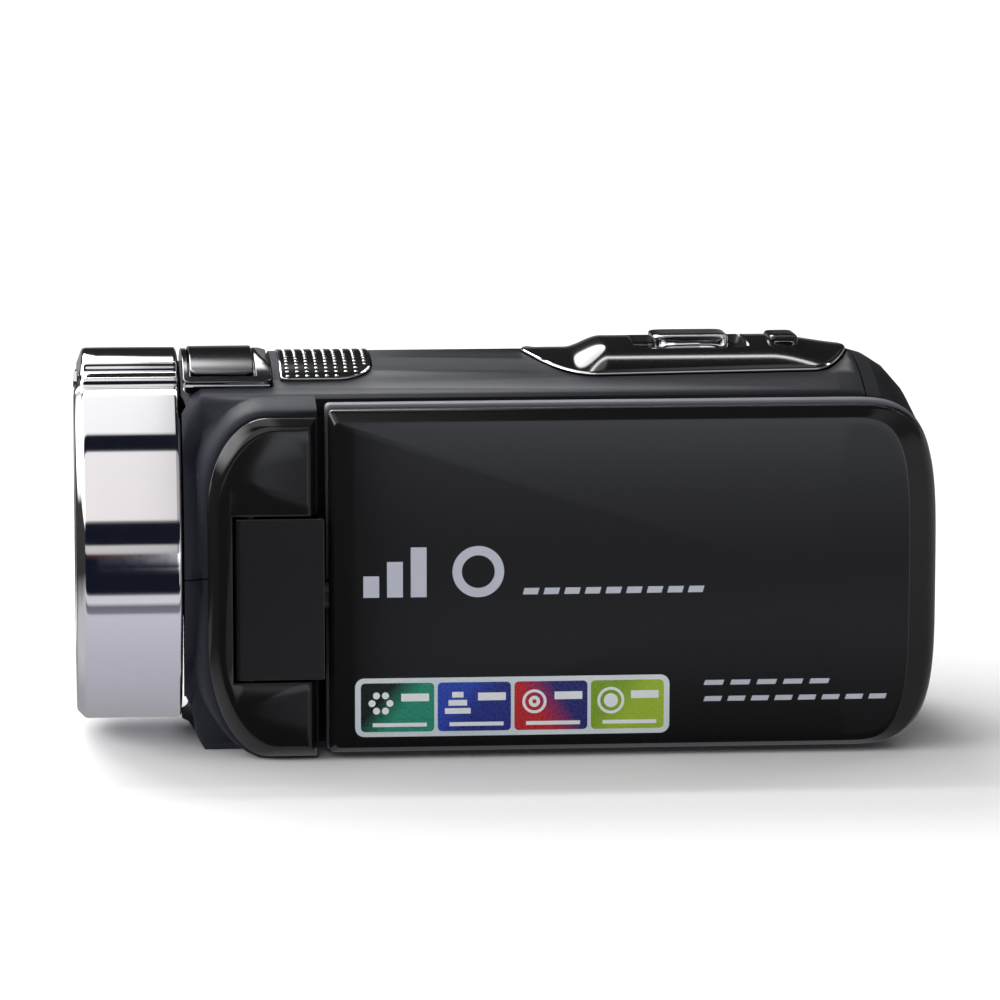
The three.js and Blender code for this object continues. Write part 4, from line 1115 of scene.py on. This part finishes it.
class CAMCORDER_OT_strap(bpy.types.Operator):
    """Weaves the strap's webbing and sews the pad."""

    bl_idname = "camcorder.strap"
    bl_label = "Hand strap"

    def execute(self, context):
        self.webbing()
        self.pad()
        self.stitches()
        return {"FINISHED"}

    def webbing(self):
        """A flat band with thick round selvedges, carried round the front bar, along the bow and
        round the rear bar."""
        t = np.linspace(-0.985, 0.985, 200)
        bow = strap_line(t, 0.0)
        radius = BAR_RADIUS + 0.3 + STRAP_THICKNESS / 2
        ends = strap_line(np.array([-1.0, 1.0]), 0.0)
        start = self.hook(ends[0], bow[0], radius, 1)
        end = self.hook(ends[1], bow[-1], radius, -1)[::-1]
        path = np.concatenate([start, bow, end])
        self.band("webbing_band", path, STRAP_HIGH[2] - STRAP_LOW[2])

    @staticmethod
    def hook(centre, towards, radius, sense):
        """Points round a bar's centre, ending where the bow begins."""
        aim = math.atan2(towards[1] - centre[1], towards[0] - centre[0])
        t = np.linspace(aim - sense * math.radians(300), aim - sense * math.radians(40), 40)
        return np.stack([centre[0] + radius * np.cos(t), centre[1] + radius * np.sin(t)], -1)

    @staticmethod
    def band(name, path, width):
        """A rounded strip section carried along a plan path, with its own map."""
        ahead = np.gradient(path, axis=0)
        ahead /= np.linalg.norm(ahead, axis=1)[:, None]
        side = np.stack([ahead[:, 1], -ahead[:, 0]], -1)
        t = np.linspace(0, TURN, 48, endpoint=False)
        across = np.sign(np.cos(t)) * np.abs(np.cos(t)) ** 0.16 * width / 2
        thick = np.sign(np.sin(t)) * np.abs(np.sin(t)) ** 0.7 * STRAP_THICKNESS / 2
        xy = path[:, None] + side[:, None] * thick[None, :, None]
        middle = (STRAP_LOW[2] + STRAP_HIGH[2]) / 2
        points = np.concatenate([xy, np.broadcast_to(middle + across, xy.shape[:2])[..., None]], -1)
        points, faces = lofted(points)
        piece = add_piece(name, points, faces, "webbing", "root", ["strap_webbing"], crease=60)
        map_by_place(piece, path, middle)

    def pad(self):
        """A crowned cushion on the bow's inner side: its thickness swells from the sewn rim to the
        middle, with a channel sewn a little way in."""
        reach = PAD_REACH / strap_span()
        rows, columns = 150, 90
        a = np.linspace(-1, 1, rows)[:, None]
        b = np.linspace(-1, 1, columns)[None, :]
        edge = (1 - np.abs(a) ** 6) * (1 - np.abs(b) ** 6)
        channel = 0.45 * np.exp(-(((np.maximum(np.abs(a), np.abs(b)) - 0.84) / 0.035) ** 2))
        swell = PAD_THICKNESS * (0.22 + 0.74 * np.maximum(edge, 0) ** 0.45) - channel
        wrinkle = 0.10 * np.sin(9 * a + 2.0 * b) * np.sin(6 * b - 3 * a) * edge
        outer = STRAP_THICKNESS / 2 + 0.3
        corner = 1 - 0.09 * np.abs(a) ** 8
        t = reach * a * (1 - 0.05 * np.abs(b) ** 8)
        line_out = strap_line(t + 0 * b, -outer)
        line_in = strap_line(t + 0 * b, 0.0)
        normal = (line_in - line_out) / outer
        inner = line_out - normal * (swell + wrinkle)[..., None]
        z = AXIS_Z + b * corner * (PAD_HIGH[2] - PAD_LOW[2]) / 2
        top = np.concatenate([line_out, z[..., None]], -1)
        low = np.concatenate([inner, z[..., None]], -1)
        points = np.concatenate([top, low[:, ::-1]], axis=1)
        wide = points.shape[1]
        faces = grid_faces(rows, wide, wrap_columns=True)
        faces += self.end_faces(0, columns, wide) + self.end_faces((rows - 1) * wide, columns, wide)
        points = points.reshape(-1, 3)
        piece = add_piece("pad_cushion", points, faces, "pad_fabric", "root", ["strap_pad"], crease=60)
        path = strap_line(np.linspace(-reach, reach, 200), -outer)
        map_by_place(piece, path, AXIS_Z)

    @staticmethod
    def end_faces(start, columns, wide):
        """Quads between the outer and the inner edge of one end of the pad."""
        k = np.arange(columns - 1)
        return np.stack([start + k, start + k + 1, start + wide - 2 - k, start + wide - 1 - k], -1).tolist()

    def stitches(self):
        """Short thread beads that sew the pad to the webbing, in two rows along the bow."""
        length = sizes().stitch_length
        span = strap_span()
        centres = np.linspace(-STITCH_REACH, STITCH_REACH, int(2 * STITCH_REACH / length)) / span
        v = np.linspace(-math.pi / 2, math.pi / 2, 7)[:, None]
        u = np.linspace(0, TURN, 8, endpoint=False)[None, :]
        along = 0.36 * length * np.sin(v) + 0 * u
        rise = 0.16 * np.cos(v) * np.cos(u)
        level = 0.22 * np.cos(v) * np.sin(u)
        rows = []
        for height in (-STITCH_ROW, STITCH_ROW):
            for centre in centres:
                at = strap_line(centre + along / span, STRAP_THICKNESS / 2 - 0.12)
                out = strap_line(centre + along / span, STRAP_THICKNESS / 2 + 0.88) - at
                z = (AXIS_Z + height + level)[..., None]
                rows.append(np.concatenate([at + out * rise[..., None], z], -1))
        points = np.asarray(rows)
        faces = repeated(grid_faces(7, 8, wrap_columns=True), 7 * 8, len(points))
        add_piece("strap_stitches", points.reshape(-1, 3), faces, "webbing", "root",
                  material=plain_plastic("stitch_thread", (0.05, 0.05, 0.055), 0.6, 0.00008))


def map_by_place(piece, path, middle):
    """A map in millimetres: u is the distance along the path to its nearest point, v the height."""
    length = np.concatenate([[0], np.cumsum(np.linalg.norm(np.diff(path, axis=0), axis=1))])
    mesh = piece.data
    points = np.zeros(len(mesh.vertices) * 3)
    mesh.vertices.foreach_get("co", points)
    points = points.reshape(-1, 3) / MM
    nearest = np.argmin(((points[:, None, :2] - path[None]) ** 2).sum(-1), axis=1)
    u = length[nearest]
    v = points[:, 2] - middle
    corners = np.zeros(len(mesh.loops), int)
    mesh.loops.foreach_get("vertex_index", corners)
    layer = mesh.uv_layers.new(name="weave")
    layer.data.foreach_set("uv", np.stack([u[corners], v[corners]], -1).ravel())


# ---- Stage ----


CAMERA_TURN = -4.8
CAMERA_RISE = 8.4
CAMERA_DISTANCE = 770.0
CAMERA_AIM = (-0.9, 0.0, 32.4)
CAMERA_LENS = 192.7


def around(table):
    """Stops over the whole turn, from a table of angles in degrees."""
    return [(place / 360 + 0.5, value) for place, value in table]


def scaled_tint(value):
    """The cool white of the panel's reflection at one level."""
    return tuple(value * c for c in (0.96, 1.0, 1.13))


class CAMCORDER_OT_stage(bpy.types.Operator):
    """Lays the pale floor, sets the camera and paints the studio's soft boxes."""

    bl_idname = "camcorder.stage"
    bl_label = "Floor, light and camera"

    def execute(self, context):
        self.floor()
        self.camera(context)
        self.studio(context)
        context.scene.view_settings.view_transform = "Standard"
        return {"FINISHED"}

    def floor(self):
        """A wide flat sheet at the height of the camcorder's base."""
        reach = 4000.0
        line = np.linspace(-reach, reach, 9)
        x, y = np.meshgrid(line, line)
        points = np.stack([x, y, np.full_like(x, -0.05)], -1).reshape(-1, 3)
        mesh = bpy.data.meshes.new("floor")
        mesh.from_pydata((points * MM).tolist(), [], grid_faces(9, 9))
        item = linked("floor", mesh)
        mesh.materials.append(surface("pale_floor", {}, lambda web: {
            "Base Color": web.blend(web.noise(web.place(), 3.0), (0.86, 0.86, 0.87), (0.9, 0.9, 0.9)),
            "Roughness": 0.7 + web.noise(web.place(), 9.0) * 0.1,
        }))
        item.visible_glossy = False

    def camera(self, context):
        data = bpy.data.cameras.new("camera")
        data.lens = CAMERA_LENS
        data.sensor_width = 36.0
        item = linked("camera", data)
        turn, rise = math.radians(CAMERA_TURN), math.radians(CAMERA_RISE)
        back = Vector((math.sin(turn) * math.cos(rise), -math.cos(turn) * math.cos(rise), math.sin(rise)))
        item.location = (Vector(CAMERA_AIM) + back * CAMERA_DISTANCE) * MM
        item.rotation_mode = "QUATERNION"
        item.rotation_quaternion = (-back).to_track_quat("-Z", "Y")
        context.scene.camera = item

    def studio(self, context):
        """Soft boxes as bands of light by their angle above the front horizon."""
        world = bpy.data.worlds.new("studio")
        context.scene.world = world
        world.use_nodes = True
        world.node_tree.nodes.clear()
        web = Web(world.node_tree)
        way = web.node("ShaderNodeTexCoord", output="Generated")
        x, y, z = web.parts(way)
        angle = web.node("ShaderNodeMath", {"operation": "ARCTAN2"}, {0: z, 1: y * -1.0})
        share = angle / TURN + 0.5
        front, rear, strip, bar_height = [web.ramp(share, around(table))
                                          for table in (FRONT_BOXES, REAR_BOXES, STRIP, BAR_HEIGHT)]
        below = (angle * (360 / TURN) + PANEL_LOW) / PANEL_LOW
        panel = web.ramp(below, [(place / PANEL_LOW + 1, scaled_tint(value)) for place, value in PANEL_BOXES])
        bands = web.blend(web.ramp(x, [(0.02, 0.0), (0.03, 1.0)]), front, web.gain(rear, panel, 1.0))
        bar = web.ramp(x, SIDE_BAR) * bar_height
        height = z * 0.5 + 0.5
        left = web.ramp(height, LEFT_WALL)
        right = web.ramp(height, RIGHT_WALL)
        walls = web.strength(web.blend(x * -1.0 > 0.0, right, left), WALL_LIGHT)
        far = web.node("ShaderNodeMath", {"operation": "ABSOLUTE"}, {0: x})
        sides = web.ramp(far, [(0.5, 0.0), (0.75, 1.0)])
        mixed = web.blend(sides, web.gain(bands, strip, STRIP_LIGHT), walls)
        toward = web.node("ShaderNodeVectorMath", {"operation": "DOT_PRODUCT"}, {0: way, 1: BACK_LAMP},
                          output="Value")
        glow = web.ramp(toward, [(0.952, 0.0), (0.96, 1.0)])
        mixed = web.gain(web.gain(mixed, glow, BACK_LIGHT), bar, BAR_LIGHT)
        seen = web.node("ShaderNodeLightPath", output="Is Camera Ray")
        light = web.node("ShaderNodeBackground", {}, {"Color": mixed, "Strength": STUDIO_LIGHT})
        plain = web.node("ShaderNodeBackground", {}, {"Color": (0.985, 0.985, 0.985, 1), "Strength": 1.0})
        both = web.node("ShaderNodeMixShader", {}, {0: seen, 1: light, 2: plain})
        web.node("ShaderNodeOutputWorld", {}, {"Surface": both})


STUDIO_LIGHT = 1.0
# Direction of the round lamp behind the camcorder, and the strengths of the studio's parts.
BACK_LAMP = (-0.26, 0.78, 0.564)
BACK_LIGHT = 8.0
STRIP_LIGHT = 12.0
WALL_LIGHT = 4.0
BAR_LIGHT = 1.2
DARK = (0.008, 0.010, 0.019)
PALE = (0.52, 0.51, 0.58)
# Angle above the front horizon in degrees, and the light there: what the lens end reflects,
# and what everything behind it reflects.
BELOW = [
    (-179, 0.3), (-70, PALE), (-41, (0.60, 0.59, 0.66)), (-39.5, (0.22, 0.21, 0.26)),
    (-34.5, (0.16, 0.15, 0.2)), (-33, (0.72, 0.71, 0.76)), (-27.6, (0.66, 0.65, 0.7)), (-26.6, DARK),
]
FRONT_BOXES = BELOW + [
    (-3.4, DARK), (-2.6, (0.05, 0.02, 0.02)), (-0.6, (0.05, 0.02, 0.02)), (0.1, (0.62, 0.60, 0.60)),
    (4.4, (0.66, 0.64, 0.64)), (5.2, DARK), (19.4, DARK), (20.8, (0.98, 0.93, 0.92)), (66.2, (1.0, 0.97, 0.97)),
    (67.6, DARK), (79.0, DARK), (80.6, 1.1), (121.4, 1.15), (123.0, 0.02), (172.0, 0.02), (179.0, 0.25),
]
REAR_BOXES = BELOW + [
    (-0.5, 0.012), (0.1, 0.3), (4.4, 0.3), (5.2, DARK), (19.4, DARK), (20.8, 0.4), (66.2, 0.4), (67.6, DARK),
    (123.0, 0.03), (172.0, 0.02), (179.0, 0.25),
]
# What the screen cover's face reflects, from PANEL_LOW degrees below the horizon up to it.
PANEL_LOW = 14.0
PANEL_BOXES = [
    (-14.0, 0.0), (-13.5, 0.06), (-11.75, 0.08), (-11.6, 0.28), (-10.3, 0.4), (-9.52, 0.42), (-9.44, 0.0),
    (-9.1, 0.0), (-8.9, 0.08), (-8.5, 0.2), (-7.6, 0.35), (-7.0, 0.49), (-6.2, 0.74), (-5.0, 0.98),
    (-3.4, 1.16), (-1.0, 1.2), (-0.3, 0.0),
]
# An upright bar to the right: its sideways reach, and its height in degrees.
SIDE_BAR = [(0.27, 0.0), (0.3, 1.0), (0.42, 1.0), (0.48, 0.0)]
BAR_HEIGHT = [(-24.0, 0.0), (-20.0, 1.0), (4.0, 1.0), (8.0, 0.0)]
# A narrow strong strip overhead, a little behind, in degrees.
STRIP = [(116.0, 0.0), (117.5, 1.0), (119.5, 1.0), (121.0, 0.0)]
# The walls beside the camcorder, from straight down (0) to straight up (1).
LEFT_WALL = [(0.0, 0.14), (0.3, 0.14), (0.4, 0.01), (0.60, 0.012), (0.68, 1.0), (1.0, 1.0)]
RIGHT_WALL = [(0.0, 0.08), (0.40, 0.08), (0.44, 0.11), (0.56, 0.11), (0.62, 0.03), (1.0, 0.05)]


# ---- Add-on parts ----


OPERATORS = [
    CAMCORDER_OT_lens_ring, CAMCORDER_OT_screen, CAMCORDER_OT_hinge, CAMCORDER_OT_top, CAMCORDER_OT_grille,
    CAMCORDER_OT_frame, CAMCORDER_OT_marks, CAMCORDER_OT_strap, CAMCORDER_OT_stage,
]


class CAMCORDER_PT_panel(bpy.types.Panel):
    """Lists the steps that finish the camcorder."""

    bl_idname = "CAMCORDER_PT_panel"
    bl_label = "Camcorder"
    bl_space_type = "VIEW_3D"
    bl_region_type = "UI"
    bl_category = "Camcorder"

    def draw(self, context):
        for group in (context.scene.camcorder_sizes, context.scene.camcorder_colours):
            for name in group.__annotations__:
                self.layout.prop(group, name)
        for step in OPERATORS:
            self.layout.operator(step.bl_idname)


CLASSES = [CamcorderSizes, CamcorderColours, *OPERATORS, CAMCORDER_PT_panel]


def register():
    for item in CLASSES:
        bpy.utils.register_class(item)
    bpy.types.Scene.camcorder_sizes = bpy.props.PointerProperty(type=CamcorderSizes)
    bpy.types.Scene.camcorder_colours = bpy.props.PointerProperty(type=CamcorderColours)


def unregister():
    del bpy.types.Scene.camcorder_colours
    del bpy.types.Scene.camcorder_sizes
    for item in reversed(CLASSES):
        bpy.utils.unregister_class(item)


def main():
    """Registers the add-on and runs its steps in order."""
    register()
    for step in OPERATORS:
        name = step.bl_idname.split(".")[1]
        getattr(bpy.ops.camcorder, name)()


if __name__ == "__main__":
    main()
